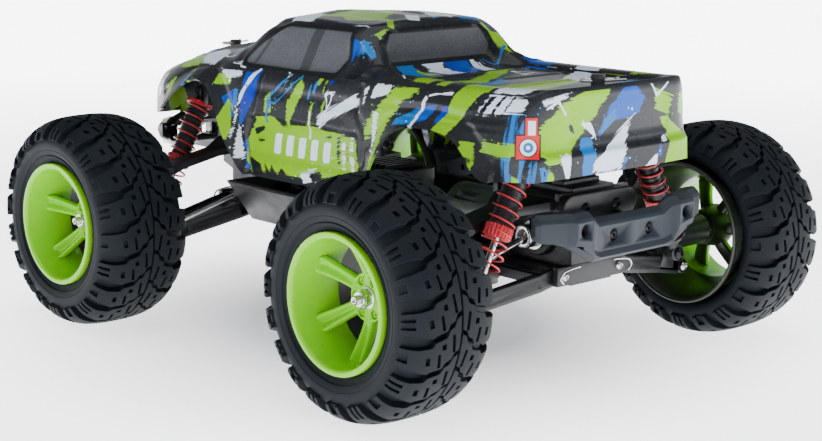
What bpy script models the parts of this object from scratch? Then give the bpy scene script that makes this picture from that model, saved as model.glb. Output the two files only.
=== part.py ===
"""Radio-controlled monster truck, 1:12 class, as a Blender model.

Every constant and every point below is in millimetres; meshes are scaled to metres as they are
made. +Z is up and z = 0 is the ground under the tyres. The nose points along -Y, the truck's left
side is +X, and x = 0 is the middle plane. Shapes are drawn with y = 0 midway between the axles,
and place() then moves every part so that y = 0 is the middle of the whole truck's length. The
suspension is drawn hanging at its droop stop.
"""

import math

import bmesh
import bpy
from mathutils import Matrix, Vector

MM = 0.001
LENGTH_SHIFT = Vector((0.0, 6.5, 0.0))

# Wheels and stance
TYRE_RADIUS = 52.0
TYRE_WIDTH = 47.0
TYRE_SEGMENTS = 24
RIM_SPOKES = 6
RIM_SEGMENTS = 16
WHEELBASE = 211.0
TRACK = 222.0
FRONT_AXLE_Y = -WHEELBASE / 2
REAR_AXLE_Y = WHEELBASE / 2
AXLE_Z = TYRE_RADIUS
WHEEL_X = TRACK / 2

# Wishbones: equal and parallel, so that a wheel stays upright over its whole travel
INNER_PIVOT_X = 18.0
OUTER_PIVOT_X = 78.0
ARM_DROP = 11.5
LOWER_INNER_Z = 49.5
UPPER_INNER_Z = 82.5
ARM_LENGTH = math.hypot(OUTER_PIVOT_X - INNER_PIVOT_X, ARM_DROP)
DROOP_ANGLE = math.atan2(ARM_DROP, OUTER_PIVOT_X - INNER_PIVOT_X)
LOWER_OUTER_Z = LOWER_INNER_Z - ARM_DROP
UPPER_OUTER_Z = UPPER_INNER_Z - ARM_DROP
FRONT_ARM_HALF = 13.0
REAR_ARM_HALF = 17.0
PIN_RADIUS = 1.5
BORE_RADIUS = 2.05
BARREL_RADIUS = 3.3
FORK_HALF = 9.6
PLATE_THICKNESS = 3.0
GAP = 0.4

# Steering
KINGPIN_X = 86.0
STEER_ARM_LENGTH = 19.5
TIE_ROD_Y = FRONT_AXLE_Y + STEER_ARM_LENGTH
TIE_ROD_INNER_X = 26.0
TIE_ROD_OUTER_Z = 50.0
TIE_ROD_INNER_Z = TIE_ROD_OUTER_Z + ARM_DROP
SERVO_SHAFT_Y = TIE_ROD_Y + 8.0 + STEER_ARM_LENGTH

# Shock absorbers
SHOCK_TOP = (36.0, 108.0)
SHOCK_FOOT = (66.0, 47.5)
FRONT_SHOCK_Y = FRONT_AXLE_Y - 10.0
REAR_SHOCK_Y = REAR_AXLE_Y + 13.5
SHOCK_LENGTH = math.dist(SHOCK_TOP, SHOCK_FOOT)
SHOCK_LEAN = math.atan2(SHOCK_FOOT[0] - SHOCK_TOP[0], SHOCK_TOP[1] - SHOCK_FOOT[1])
SPRING_TOP = 8.3
SPRING_FOOT = SHOCK_LENGTH - 9.8
SPRING_RADIUS = 5.8
SPRING_WIRE = 0.6
SPRING_TURNS = 5
SHOCK_CLEAR_RADIUS = 7.1

# Drivetrain
DIFF_Z = 65.0
CUP_BALL_X = 20.0
WHEEL_CUP_BALL_X = 67.5
MOTOR_RADIUS = 13.5

# Body shell
SHELL_WALL = 1.5
POST_RADIUS = 3.0
FRONT_POST_Y = -135.0
REAR_POST_Y = 126.0

# Chassis tub
TUB_FLOOR_Z = 46.0
TUB_TOP_Z = 68.0
TUB_FLOOR_HALF = 34.0
TUB_TOP_HALF = 50.0
TUB_WALL = 2.2
TUB_FRONT_Y = -78.0
TUB_REAR_Y = 82.0


# ---------------------------------------------------------------- shapes

def mesh_from(vertices, faces):
    """Make a mesh in metres from millimetre points, with its faces turned outward."""
    mesh = bpy.data.meshes.new("shape")
    mesh.from_pydata([Vector(v) * MM for v in vertices], [], faces)
    outward(mesh)
    return mesh


def outward(mesh):
    bm = bmesh.new()
    bm.from_mesh(mesh)
    bmesh.ops.recalc_face_normals(bm, faces=bm.faces)
    bm.to_mesh(mesh)
    bm.free()


def ring_solid(rings):
    """Join closed rings of equal length into one solid with flat end caps."""
    count = len(rings[0])
    vertices = [point for ring in rings for point in ring]
    faces = [list(range(count)), list(range(len(vertices) - count, len(vertices)))]
    for i in range(len(rings) - 1):
        for j in range(count):
            k = (j + 1) % count
            faces.append([i * count + j, i * count + k, (i + 1) * count + k, (i + 1) * count + j])
    return mesh_from(vertices, faces)


def axis_point(axis, along, across, up):
    """Turn (along the axis, across it, upward) into x, y, z for an axis of X, Y or Z."""
    if axis == "X":
        return (along, across, up)
    if axis == "Y":
        return (across, along, up)
    return (across, up, along)


def lathe(profile, segments, axis="X", phase=0.0):
    """Turn a closed loop of (along, radius) points about an axis into a ring-shaped solid."""
    count = len(profile)
    vertices = []
    for i in range(segments):
        angle = 2 * math.pi * (i + phase) / segments
        for along, radius in profile:
            vertices.append(axis_point(axis, along, radius * math.cos(angle), radius * math.sin(angle)))
    faces = []
    for i in range(segments):
        a = i * count
        b = (i + 1) % segments * count
        for j in range(count):
            k = (j + 1) % count
            faces.append([a + j, a + k, b + k, b + j])
    return mesh_from(vertices, faces)


def turned(profile, segments, axis="X", hexes=(), centre=(0.0, 0.0)):
    """Turn an open run of (along, radius) points into a solid bar; rings in hexes are hexagonal."""
    rings = []
    for index, (along, radius) in enumerate(profile):
        ring = []
        for i in range(segments):
            angle = 2 * math.pi * i / segments
            flat = math.cos(math.pi / 6) if index in hexes and i % 2 else 1.0
            across = centre[0] + radius * flat * math.cos(angle)
            up = centre[1] + radius * flat * math.sin(angle)
            ring.append(axis_point(axis, along, across, up))
        rings.append(ring)
    return ring_solid(rings)


def box(low, high):
    x0, y0, z0 = low
    x1, y1, z1 = high
    lower = [(x0, y0, z0), (x1, y0, z0), (x1, y1, z0), (x0, y1, z0)]
    upper = [(x0, y0, z1), (x1, y0, z1), (x1, y1, z1), (x0, y1, z1)]
    return ring_solid([lower, upper])


def prism(outline, start, end, axis):
    """Extrude an outline of (across, up) points along an axis."""
    rings = [[axis_point(axis, along, across, up) for across, up in outline] for along in (start, end)]
    return ring_solid(rings)


def rod(start, end, radius, segments=6):
    """A straight round bar between two points."""
    start, end = Vector(start), Vector(end)
    turn = (end - start).to_track_quat("Z", "Y").to_matrix()
    rings = []
    for centre in (start, end):
        ring = []
        for i in range(segments):
            angle = 2 * math.pi * (i + 0.5) / segments
            ring.append(centre + turn @ Vector((radius * math.cos(angle), radius * math.sin(angle), 0)))
        rings.append(ring)
    return ring_solid(rings)


def combined(base, tool, operation):
    """Return the base mesh united with, or cut by, the tool mesh."""
    target = bpy.data.objects.new("target", base)
    other = bpy.data.objects.new("tool", tool)
    collection = bpy.context.scene.collection
    collection.objects.link(target)
    collection.objects.link(other)
    boolean = target.modifiers.new("Boolean", "BOOLEAN")
    boolean.operation = operation
    boolean.object = other
    depsgraph = bpy.context.evaluated_depsgraph_get()
    result = bpy.data.meshes.new_from_object(target.evaluated_get(depsgraph))
    bpy.data.objects.remove(target)
    bpy.data.objects.remove(other)
    return result


def joined(base, *others):
    for other in others:
        base = combined(base, other, "UNION")
    return base


def cut(base, *tools):
    for tool in tools:
        base = combined(base, tool, "DIFFERENCE")
    return base


def mirrored(mesh, side):
    """Mirror a left-hand mesh across x = 0 for the right-hand side."""
    if side < 0:
        mesh.transform(Matrix.Scale(-1, 4, (1, 0, 0)))
        outward(mesh)
    return mesh


# ---------------------------------------------------------------- materials and objects

COLOURS = {
    "tyre_rubber": ((0.035, 0.037, 0.042), 0.75, 0.0),
    "rim_green": ((0.42, 0.72, 0.02), 0.30, 0.0),
    "steel": ((0.62, 0.62, 0.63), 0.28, 1.0),
    "black_nylon": ((0.018, 0.019, 0.022), 0.50, 0.0),
    "bumper_grey": ((0.085, 0.098, 0.115), 0.50, 0.0),
    "bumper_black": ((0.010, 0.010, 0.012), 0.15, 0.0),
    "shell_paint": ((0.030, 0.032, 0.036), 0.25, 0.0),
    "shock_black": ((0.015, 0.015, 0.017), 0.40, 0.0),
    "spring_red": ((0.55, 0.02, 0.03), 0.35, 0.0),
    "motor_can": ((0.45, 0.45, 0.47), 0.35, 1.0),
    "pack_blue": ((0.03, 0.09, 0.35), 0.45, 0.0),
}


def material(name):
    if name in bpy.data.materials:
        return bpy.data.materials[name]
    colour, roughness, metallic = COLOURS[name]
    made = bpy.data.materials.new(name)
    made.use_nodes = True
    shader = made.node_tree.nodes["Principled BSDF"]
    shader.inputs["Base Color"].default_value = (*colour, 1.0)
    shader.inputs["Roughness"].default_value = roughness
    shader.inputs["Metallic"].default_value = metallic
    return made


def place(name, mesh, finish, origin=(0.0, 0.0, 0.0), turn_y=0.0):
    """Add a named sub-part whose mesh is drawn about its own origin."""
    mesh.name = name
    mesh.materials.clear()
    mesh.materials.append(material(finish))
    mesh.shade_smooth()
    mesh.set_sharp_from_angle(angle=math.radians(35))
    part = bpy.data.objects.new(name, mesh)
    part.location = (Vector(origin) + LENGTH_SHIFT) * MM
    part.rotation_euler = (0.0, turn_y, 0.0)
    bpy.context.scene.collection.objects.link(part)
    return part


# ---------------------------------------------------------------- wheels

def tyre_mesh():
    """A hollow balloon carcass, open at its beads; x = 0 is the wheel's middle plane."""
    half = TYRE_WIDTH / 2
    to_flat = 1 / math.cos(math.pi / TYRE_SEGMENTS)
    crown = TYRE_RADIUS * to_flat
    outboard = [(20.5, 30.3), (half, 40.0), (20.5, 49.0), (11.0, crown)]
    inboard = [(-11.0, crown), (-20.5, 49.0), (-half, 41.0), (-20.5, 35.2)]
    lining = [(-20.0, 42.0), (-15.0, 47.5), (15.0, 47.5), (20.0, 41.0)]
    return lathe(outboard + inboard + lining, TYRE_SEGMENTS, phase=0.5)


def rim_mesh():
    """A dished rim with six windows between its spokes and a pocket for the drive hex."""
    profile = [
        (22.3, 29.7), (22.3, 27.8), (3.0, 25.0), (4.0, 9.0), (4.0, 2.7), (-3.9, 2.7),
        (-3.9, 6.9), (-7.8, 6.9), (-7.8, 9.4), (-2.5, 25.6),
        (-26.5, 32.4), (-26.5, 34.6), (17.0, 28.6),
    ]
    rim = lathe(profile, RIM_SEGMENTS)
    for i in range(RIM_SPOKES):
        angle = 2 * math.pi * (i + 0.5) / RIM_SPOKES
        window = []
        for radius, spread in ((12.0, -0.18), (22.5, -0.30), (22.5, 0.30), (12.0, 0.18)):
            window.append((radius * math.cos(angle + spread), radius * math.sin(angle + spread)))
        rim = cut(rim, prism(window, -12.0, 12.0, "X"))
    return rim


AXLE_TIP = 11.7
AXLE_OUTER_END = [
    (-9.4, 2.2), (-9.4, 6.3), (-4.3, 6.3), (-4.3, 2.2),
    (4.4, 2.2), (4.4, 4.2), (8.2, 4.2), (8.2, 1.9), (AXLE_TIP, 1.9),
]
AXLE_HEXES = (3, 4, 7, 8)


def front_axle_mesh():
    """Stub axle with drive hex and lock nut, in the wheel's own frame."""
    profile = [(KINGPIN_X - WHEEL_X - 2.0, 1.9), (KINGPIN_X - WHEEL_X - 1.5, 2.2)] + AXLE_OUTER_END
    return turned(profile, 12, hexes=AXLE_HEXES)


def rear_axle_mesh():
    """Driven axle: cup for the dogbone, shaft, hex and lock nut."""
    cup_mouth = WHEEL_CUP_BALL_X - 4.0 - WHEEL_X
    cup_back = WHEEL_CUP_BALL_X + 5.0 - WHEEL_X
    profile = [(cup_mouth, 4.6), (cup_back, 4.6), (cup_back + 0.5, 2.2)] + AXLE_OUTER_END
    axle = turned(profile, 12, hexes=AXLE_HEXES)
    recess = turned([(cup_mouth - 1.0, 3.4), (WHEEL_CUP_BALL_X + 3.2 - WHEEL_X, 3.4)], 8)
    return cut(axle, recess)


def add_wheel(tag, side, axle_y, axle):
    origin = (side * WHEEL_X, axle_y, AXLE_Z)
    place(f"tyre_{tag}", mirrored(tyre_mesh(), side), "tyre_rubber", origin)
    place(f"rim_{tag}", mirrored(rim_mesh(), side), "rim_green", origin)
    place(f"axle_{tag}", mirrored(axle, side), "steel", origin)


# ---------------------------------------------------------------- wishbones and hubs

def with_pivots(plate, inner_half):
    """Add an arm's barrel at the origin and its fork at ARM_LENGTH, both bored for their pins."""
    inner_barrel = rod((0, -inner_half, 0), (0, inner_half, 0), BARREL_RADIUS)
    outer_barrel = rod((ARM_LENGTH, -FORK_HALF, 0), (ARM_LENGTH, FORK_HALF, 0), BARREL_RADIUS)
    fork = box((ARM_LENGTH - 6.5, -6.3, -9), (ARM_LENGTH + 9, 6.3, 9))
    inner_bore = rod((0, -40, 0), (0, 40, 0), BORE_RADIUS)
    outer_bore = rod((ARM_LENGTH, -40, 0), (ARM_LENGTH, 40, 0), BORE_RADIUS)
    return cut(joined(plate, inner_barrel, outer_barrel), fork, inner_bore, outer_bore)


def lower_arm_mesh(inner_half, reach):
    """Lower wishbone, drawn flat along +X, with a lug and pin for the shock at y = reach."""
    outline = [
        (0, -inner_half), (12, -inner_half), (44, -FORK_HALF), (ARM_LENGTH, -FORK_HALF),
        (ARM_LENGTH, FORK_HALF), (44, FORK_HALF), (12, inner_half), (0, inner_half),
    ]
    side = math.copysign(1, reach)
    x, z = shock_foot_on_arm()
    lug_outline = [(x - 5, -1), (x + 5, -1), (x + 3, z + 3), (x - 3, z + 3)]
    lug_end = reach - side * 2.9
    lug = prism(lug_outline, *sorted((side * 4.5, lug_end)), "Y")
    pin = rod((x, side * 6.0, z), (x, reach + side * 3.0, z), PIN_RADIUS)
    window = prism([(9, -inner_half + 6), (39, -4.5), (39, 4.5), (9, inner_half - 6)], -9, 9, "Z")
    plate = joined(cut(prism(outline, -2.5, 2.5, "Z"), window), lug, pin)
    return with_pivots(plate, inner_half)


def upper_arm_mesh(inner_half, reach):
    """Upper wishbone, drawn flat along +X, waisted where the shock at y = reach passes it."""
    waist = abs(reach) - SHOCK_CLEAR_RADIUS
    near = [(22, waist), (44, waist)]
    far = [(22, 7.0), (44, 7.0)]
    plus, minus = (near, far) if reach > 0 else (far, near)
    outline = [(0, inner_half), (7, inner_half), *plus, (51, FORK_HALF), (ARM_LENGTH, FORK_HALF)]
    outline += [(ARM_LENGTH, -FORK_HALF), (51, -FORK_HALF)]
    outline += [(x, -y) for x, y in reversed(minus)]
    outline += [(7, -inner_half), (0, -inner_half)]
    return with_pivots(prism(outline, -2.0, 2.0, "Z"), inner_half)


def shock_foot_on_arm():
    """The shock's lower pin in the flat arm's own (along, up) coordinates."""
    along = SHOCK_FOOT[0] - INNER_PIVOT_X
    up = SHOCK_FOOT[1] - LOWER_INNER_Z
    cosine, sine = math.cos(DROOP_ANGLE), math.sin(DROOP_ANGLE)
    return along * cosine - up * sine, along * sine + up * cosine


def add_arms(tag, side, axle_y, inner_half, shock_y):
    lower = lower_arm_mesh(inner_half, shock_y - axle_y)
    upper = upper_arm_mesh(inner_half, shock_y - axle_y)
    turn = side * DROOP_ANGLE
    low_pivot = (side * INNER_PIVOT_X, axle_y, LOWER_INNER_Z)
    high_pivot = (side * INNER_PIVOT_X, axle_y, UPPER_INNER_Z)
    place(f"lower_arm_{tag}", mirrored(lower, side), "black_nylon", low_pivot, turn)
    place(f"upper_arm_{tag}", mirrored(upper, side), "black_nylon", high_pivot, turn)


def pivot_bar(height):
    """Barrel and pin ends on which an arm's fork turns, at the outer pivot."""
    barrel = rod((OUTER_PIVOT_X, -5.9, height), (OUTER_PIVOT_X, 5.9, height), BARREL_RADIUS)
    pin = rod((OUTER_PIVOT_X, -9.6, height), (OUTER_PIVOT_X, 9.6, height), PIN_RADIUS)
    return joined(barrel, pin)


def hub_carrier_mesh():
    """Rear upright: spine between the outer pivots and a bearing tube for the axle."""
    spine = box((74.6, -5.5, LOWER_OUTER_Z), (81.5, 5.5, UPPER_OUTER_Z))
    tube = rod((74.6, 0, AXLE_Z), (100.9, 0, AXLE_Z), 7.2, 12)
    bore = rod((60, 0, AXLE_Z), (110, 0, AXLE_Z), 2.7)
    body = joined(spine, tube, pivot_bar(LOWER_OUTER_Z), pivot_bar(UPPER_OUTER_Z))
    return cut(body, bore)


CASTER_EARS = ((39.5, 43.1), (60.9, 64.5))


def caster_mesh():
    """Front upright: a C that holds the steering knuckle on its kingpin."""
    body = box((74.9, -4.8, LOWER_OUTER_Z), (78.6, 4.8, UPPER_OUTER_Z))
    body = joined(body, pivot_bar(LOWER_OUTER_Z), pivot_bar(UPPER_OUTER_Z))
    for low, high in CASTER_EARS:
        ear = box((76.0, -4.8, low), (90.5, 4.8, high))
        bore = rod((KINGPIN_X, 0, low - 3), (KINGPIN_X, 0, high + 3), 2.4)
        body = cut(joined(body, ear), bore)
    return body


def knuckle_mesh():
    """Steering knuckle about its kingpin: boss, bearing tube and a slotted steering arm."""
    low, high = CASTER_EARS[0][1] + GAP, CASTER_EARS[1][0] - GAP
    boss = rod((0, 0, low), (0, 0, high), 4.6, 12)
    kingpin = rod((0, 0, CASTER_EARS[0][0]), (0, 0, CASTER_EARS[1][1]), 1.8)
    tube = rod((0, 0, AXLE_Z), (14.9, 0, AXLE_Z), 6.6, 12)
    outline = [(-2.8, 0), (2.8, 0), (5.0, 14), (5.0, 26), (-5.0, 26), (-5.0, 14)]
    arm = prism(outline, TIE_ROD_OUTER_Z - 1.5, TIE_ROD_OUTER_Z + 1.5, "Z")
    slot = box((-3.1, STEER_ARM_LENGTH - 4.2, 40), (3.1, STEER_ARM_LENGTH + 4.1, 60))
    bore = rod((-2.6, 0, AXLE_Z), (20, 0, AXLE_Z), 2.7)
    return cut(joined(boss, kingpin, tube, arm), slot, bore)


# ---------------------------------------------------------------- shocks

def eye(centre_z, half_width=2.4):
    """A shock's eye: a short barrel across Y, with a lighter web toward the shock."""
    return rod((0, -half_width, centre_z), (0, half_width, centre_z), 3.7, 8)


def eye_bore(centre_z):
    return rod((0, -9, centre_z), (0, 9, centre_z), 2.15)


def shock_body_mesh():
    """Cylinder with its top collar and end cap, hung from its eye at the origin along -Z."""
    profile = [
        (-2.6, 2.2), (-5.0, 2.6), (-5.2, 6.3), (-7.6, 6.3), (-8.0, 4.4), (-34.0, 4.4),
        (-34.2, 4.7), (-40.5, 4.7),
    ]
    cylinder = turned(profile, 8, "Z")
    bore = turned([(-45.0, 1.9), (-11.0, 1.9)], 8, "Z")
    return cut(joined(cylinder, eye(0)), bore, eye_bore(0))


def shock_rod_mesh():
    """Piston rod, lower spring seat and lower eye."""
    profile = [
        (-24.0, 1.4), (-SPRING_FOOT - 0.3, 1.4), (-SPRING_FOOT - 0.3, 6.4),
        (-SPRING_FOOT - 2.4, 6.4), (-SPRING_FOOT - 2.6, 2.6), (-SHOCK_LENGTH + 2.6, 2.4),
    ]
    return cut(joined(turned(profile, 8, "Z"), eye(-SHOCK_LENGTH)), eye_bore(-SHOCK_LENGTH))


def spring_mesh():
    """An open coil between the collar and the lower seat, as a four-sided wire."""
    per_turn = 8
    steps = SPRING_TURNS * per_turn
    top = -SPRING_TOP - SPRING_WIRE
    drop = SPRING_FOOT - SPRING_TOP - 2 * SPRING_WIRE
    rings = []
    for i in range(steps + 1):
        angle = 2 * math.pi * i / per_turn
        outward_x, outward_y = math.cos(angle), math.sin(angle)
        z = top - drop * i / steps
        ring = []
        for across, up in ((-1, 0), (0, -1), (1, 0), (0, 1)):
            radius = SPRING_RADIUS + across * SPRING_WIRE
            ring.append((radius * outward_x, radius * outward_y, z + up * SPRING_WIRE))
        rings.append(ring)
    return ring_solid(rings)


def add_shock(tag, side, shock_y):
    origin = (side * SHOCK_TOP[0], shock_y, SHOCK_TOP[1])
    turn = -side * SHOCK_LEAN
    place(f"shock_body_{tag}", shock_body_mesh(), "shock_black", origin, turn)
    place(f"shock_rod_{tag}", shock_rod_mesh(), "steel", origin, turn)
    place(f"spring_{tag}", spring_mesh(), "spring_red", origin, turn)


# ---------------------------------------------------------------- steering gear

def steering_rack_mesh():
    """Cross bar with a pin for each tie rod and a slotted fork for the servo horn."""
    bar_y = TIE_ROD_Y + 1.9
    low, high = TIE_ROD_INNER_Z - 2.6, TIE_ROD_INNER_Z + 2.6
    bar = box((-TIE_ROD_INNER_X - 3, bar_y, low), (TIE_ROD_INNER_X + 3, bar_y + 2.6, high))
    for side in (-1, 1):
        x = side * TIE_ROD_INNER_X
        pin = rod((x, TIE_ROD_Y - 1.6, TIE_ROD_INNER_Z), (x, bar_y + 1, TIE_ROD_INNER_Z), 1.2)
        prong = box((side * 2.4, bar_y + 1, low), (side * 5.4, bar_y + 11.5, high))
        bar = joined(bar, pin, prong)
    return bar


def tie_rod_mesh():
    """Left tie rod about its inner pivot: eye, drag link and an upright pin at the outer end."""
    outer_x = KINGPIN_X - TIE_ROD_INNER_X
    foot = -ARM_DROP - 5.0
    barrel = rod((0, -1.5, 0), (0, 1.5, 0), 3.0)
    link = rod((0, 0, 0), (outer_x, 0, foot), 1.2)
    pin = rod((outer_x, 0, foot - 1.2), (outer_x, 0, -ARM_DROP + 1.6), 1.4)
    bore = rod((0, -9, 0), (0, 9, 0), 1.7)
    return cut(joined(barrel, link, pin), bore)


def servo_mesh():
    """Steering servo with its two mounting ears and the splined output boss."""
    y = SERVO_SHAFT_Y
    case = box((-6, y - 6, 48.7), (6, y + 17, 65.0))
    ears = box((-6, y - 10, 58.0), (6, y + 21, 60.0))
    boss = rod((0, y, 64), (0, y, 67.5), 4.0, 12)
    spline = rod((0, y, 67), (0, y, 71.2), 1.6)
    return joined(case, ears, boss, spline)


def servo_horn_mesh():
    """Horn about its shaft, with a pin that hangs into the rack's fork."""
    reach = STEER_ARM_LENGTH
    arm = prism([(-3.5, 3.5), (3.5, 3.5), (2.2, -reach - 2.2), (-2.2, -reach - 2.2)], 0.4, 3.2, "Z")
    pin = rod((0, -reach, -10.0), (0, -reach, 1.0), 1.6)
    return cut(joined(arm, pin), rod((0, 0, -9), (0, 0, 9), 2.0))


def add_steering():
    place("steering_rack", steering_rack_mesh(), "black_nylon")
    for tag, side in (("fl", 1), ("fr", -1)):
        origin = (side * TIE_ROD_INNER_X, TIE_ROD_Y, TIE_ROD_INNER_Z)
        place(f"tie_rod_{tag}", mirrored(tie_rod_mesh(), side), "steel", origin)
    place("steering_servo", servo_mesh(), "black_nylon")
    place("servo_horn", servo_horn_mesh(), "black_nylon", (0, SERVO_SHAFT_Y, 67.7))


# ---------------------------------------------------------------- bulkheads and towers

def hinge_frame(y, arm_half):
    """Front and rear plates with the four hinge pins that carry one axle's wishbones."""
    inner = arm_half + GAP
    outer = inner + PLATE_THICKNESS
    pieces = []
    for near, far in ((-outer, -inner), (inner, outer)):
        for z in (LOWER_INNER_Z, UPPER_INNER_Z):
            pieces.append(box((-22.5, y + near, z - 4.2), (22.5, y + far, z + 4.2)))
    for z in (LOWER_INNER_Z, UPPER_INNER_Z):
        for x in (-INNER_PIVOT_X, INNER_PIVOT_X):
            pieces.append(rod((x, y - outer, z), (x, y + outer, z), PIN_RADIUS))
    return pieces


def front_bulkhead_mesh():
    y = FRONT_AXLE_Y
    reach = FRONT_ARM_HALF + GAP + PLATE_THICKNESS - 0.5
    block = box((-13.4, y - reach, 44.5), (13.4, y + reach, 88.0))
    keel = prism([(y - reach - 14, 66), (y - reach + 2, 60), (y - reach + 2, 80), (y - reach - 14, 76)],
                 -9.0, 9.0, "X")
    return joined(block, keel, *hinge_frame(y, FRONT_ARM_HALF))


def rear_gearbox_mesh():
    """Gearbox hollowed for the differential, open at both outdrives and at the motor."""
    y = REAR_AXLE_Y
    reach = REAR_ARM_HALF + GAP + PLATE_THICKNESS - 0.5
    block = box((-13.4, y - reach, 44.5), (13.4, y + reach, 88.0))
    cavity = rod((-11.2, y, DIFF_Z), (11.2, y, DIFF_Z), 13.6, 16)
    outdrives = rod((-30, y, DIFF_Z), (30, y, DIFF_Z), 5.9, 12)
    nose = rod((0, y - 30, DIFF_Z), (0, y, DIFF_Z), 5.4, 12)
    body = joined(block, *hinge_frame(y, REAR_ARM_HALF))
    return cut(body, joined(cavity, outdrives, nose))


def tower_mesh(plate_y, pin_y, post_y):
    """Shock tower: a winged plate on the bulkhead with two shock pins and the body post."""
    back, front = sorted((plate_y, plate_y + math.copysign(4.0, plate_y - pin_y)))
    x, z = SHOCK_TOP
    outline = [(-12, 88.3), (12, 88.3), (16, 97), (x + 6, z - 5), (x + 6, z + 5), (-x - 6, z + 5),
               (-x - 6, z - 5), (-16, 97)]
    tower = prism(outline, back, front, "Y")
    for side in (-1, 1):
        tip = pin_y + math.copysign(4.0, pin_y - plate_y)
        tower = joined(tower, rod((side * x, (back + front) / 2, z), (side * x, tip, z), PIN_RADIUS))
    middle = (back + front) / 2
    foot = box((-5, min(middle, post_y) - 3.5, 100), (5, max(middle, post_y) + 3.5, 106))
    shell_height = 137.5 if post_y > 0 else 131.5
    return joined(tower, foot, rod((0, post_y, 102), (0, post_y, shell_height), POST_RADIUS, 12))


# ---------------------------------------------------------------- drivetrain

def differential_mesh():
    """Ring gear, case and both outdrive cups, turned as one piece about the axle line."""
    mouth = CUP_BALL_X + 4.0
    profile = [
        (-mouth, 5.0), (-14.5, 5.0), (-14.0, 4.2), (-10.6, 4.2), (-10.0, 8.0), (5.2, 8.0),
        (5.4, 12.4), (9.2, 12.4), (9.6, 4.2), (14.0, 4.2), (14.5, 5.0), (mouth, 5.0),
    ]
    gear = turned(profile, 16)
    for side in (-1, 1):
        recess = turned(sorted([(side * (mouth + 1), 3.5), (side * (CUP_BALL_X - 3.4), 3.5)]), 8)
        gear = cut(gear, recess)
    return gear


def dogbone_mesh():
    """Left dogbone about its inner ball, drawn straight along +X."""
    length = math.dist((CUP_BALL_X, DIFF_Z), (WHEEL_CUP_BALL_X, AXLE_Z))
    profile = [
        (-2.4, 1.0), (-1.3, 2.4), (1.3, 2.4), (2.6, 1.3), (length - 2.6, 1.3),
        (length - 1.3, 2.4), (length + 1.3, 2.4), (length + 2.4, 1.0),
    ]
    return turned(profile, 10)


def motor_mesh():
    """Motor can with its tail bush and a bore for the pinion shaft."""
    front = REAR_AXLE_Y - REAR_ARM_HALF - GAP - PLATE_THICKNESS - 0.3
    back = front - 44.0
    profile = [(back - 3, 4.0), (back, 4.0), (back, 11.5), (back + 1.5, MOTOR_RADIUS),
               (front - 1.0, MOTOR_RADIUS), (front, 12.5)]
    can = turned(profile, 16, "Y", centre=(0.0, DIFF_Z))
    return cut(can, rod((0, front - 8, DIFF_Z), (0, front + 5, DIFF_Z), 2.2))


def pinion_mesh():
    """Motor shaft and bevel pinion, drawn about the differential's middle."""
    tip = -9.2
    profile = [(-27.5, 1.5), (tip - 5.0, 1.5), (tip - 5.0, 4.4), (tip, 3.4)]
    return turned(profile, 12, "Y")


def add_drivetrain():
    middle = (0, REAR_AXLE_Y, DIFF_Z)
    place("differential", differential_mesh(), "steel", middle)
    place("motor_pinion", pinion_mesh(), "steel", middle)
    place("drive_motor", motor_mesh(), "motor_can")
    fall = math.atan2(DIFF_Z - AXLE_Z, WHEEL_CUP_BALL_X - CUP_BALL_X)
    for tag, side in (("rl", 1), ("rr", -1)):
        bone = mirrored(dogbone_mesh(), side)
        place(f"dogbone_{tag}", bone, "steel", (side * CUP_BALL_X, REAR_AXLE_Y, DIFF_Z), side * fall)


# ---------------------------------------------------------------- chassis, bumpers and electronics

def chassis_tub_mesh():
    """Open tub with raised side guards, a battery hatch and a slot for the switch."""
    floor, top = TUB_FLOOR_Z, TUB_TOP_Z
    low, high, wall = TUB_FLOOR_HALF, TUB_TOP_HALF, TUB_WALL
    section = [
        (-high, top), (-low, floor), (low, floor), (high, top),
        (high - 1.3 * wall, top), (low - 0.6 * wall, floor + wall),
        (-low + 0.6 * wall, floor + wall), (-high + 1.3 * wall, top),
    ]
    tub = prism(section, TUB_FRONT_Y, TUB_REAR_Y, "Y")
    end_wall = [(-high, top), (-low, floor), (low, floor), (high, top)]
    front_wall = prism(end_wall, TUB_FRONT_Y, TUB_FRONT_Y + 2.2, "Y")
    neck_front = box((-16, FRONT_AXLE_Y + 16.8, floor), (16, TUB_FRONT_Y + 5, floor + 4))
    neck_rear = box((-16, TUB_REAR_Y - 5, floor), (16, REAR_AXLE_Y - 20.8, floor + 4))
    tub = joined(tub, front_wall, neck_front, neck_rear)
    horn_notch = box((-20, TUB_FRONT_Y - 1, 57.5), (20, TUB_FRONT_Y + 5, 80))
    hatch = box((-16.5, -36, 40), (16.5, 33, 60))
    slot = box((-2.2, 56, 40), (2.2, 67.5, 60))
    for y in (-33.0, 30.0):
        lug = box((17.6, y - 2.0, 42.9), (21.6, y + 2.0, floor + 1))
        bore = rod((19.6, y - 5, 44.5), (19.6, y + 5, 44.5), 1.0)
        tub = cut(joined(tub, lug), bore)
    return cut(tub, horn_notch, hatch, slot)


def battery_cover_mesh():
    """Hatch under the tub about its hinge line along +Y."""
    plate = box((-37.6, -34.5, -1.0), (-0.5, 31.5, 1.0))
    knuckle = rod((0, -30.5, 0), (0, 27.5, 0), 1.2)
    pins = rod((0, -34.6, 0), (0, 31.6, 0), 0.65)
    relief_front = box((-2.6, -36.0, -3), (3, -30.5, 3))
    relief_rear = box((-2.6, 27.5, -3), (3, 33, 3))
    return joined(cut(joined(plate, knuckle), relief_front, relief_rear), pins)


def power_switch_mesh():
    """Slide switch captive in the tub's slot, about the middle of its travel."""
    knob = box((-1.6, -2.4, -3.0), (1.6, 2.4, 3.0))
    flange = box((-4.0, -4.4, 2.7), (4.0, 4.4, 4.0))
    return joined(knob, flange)


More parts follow.
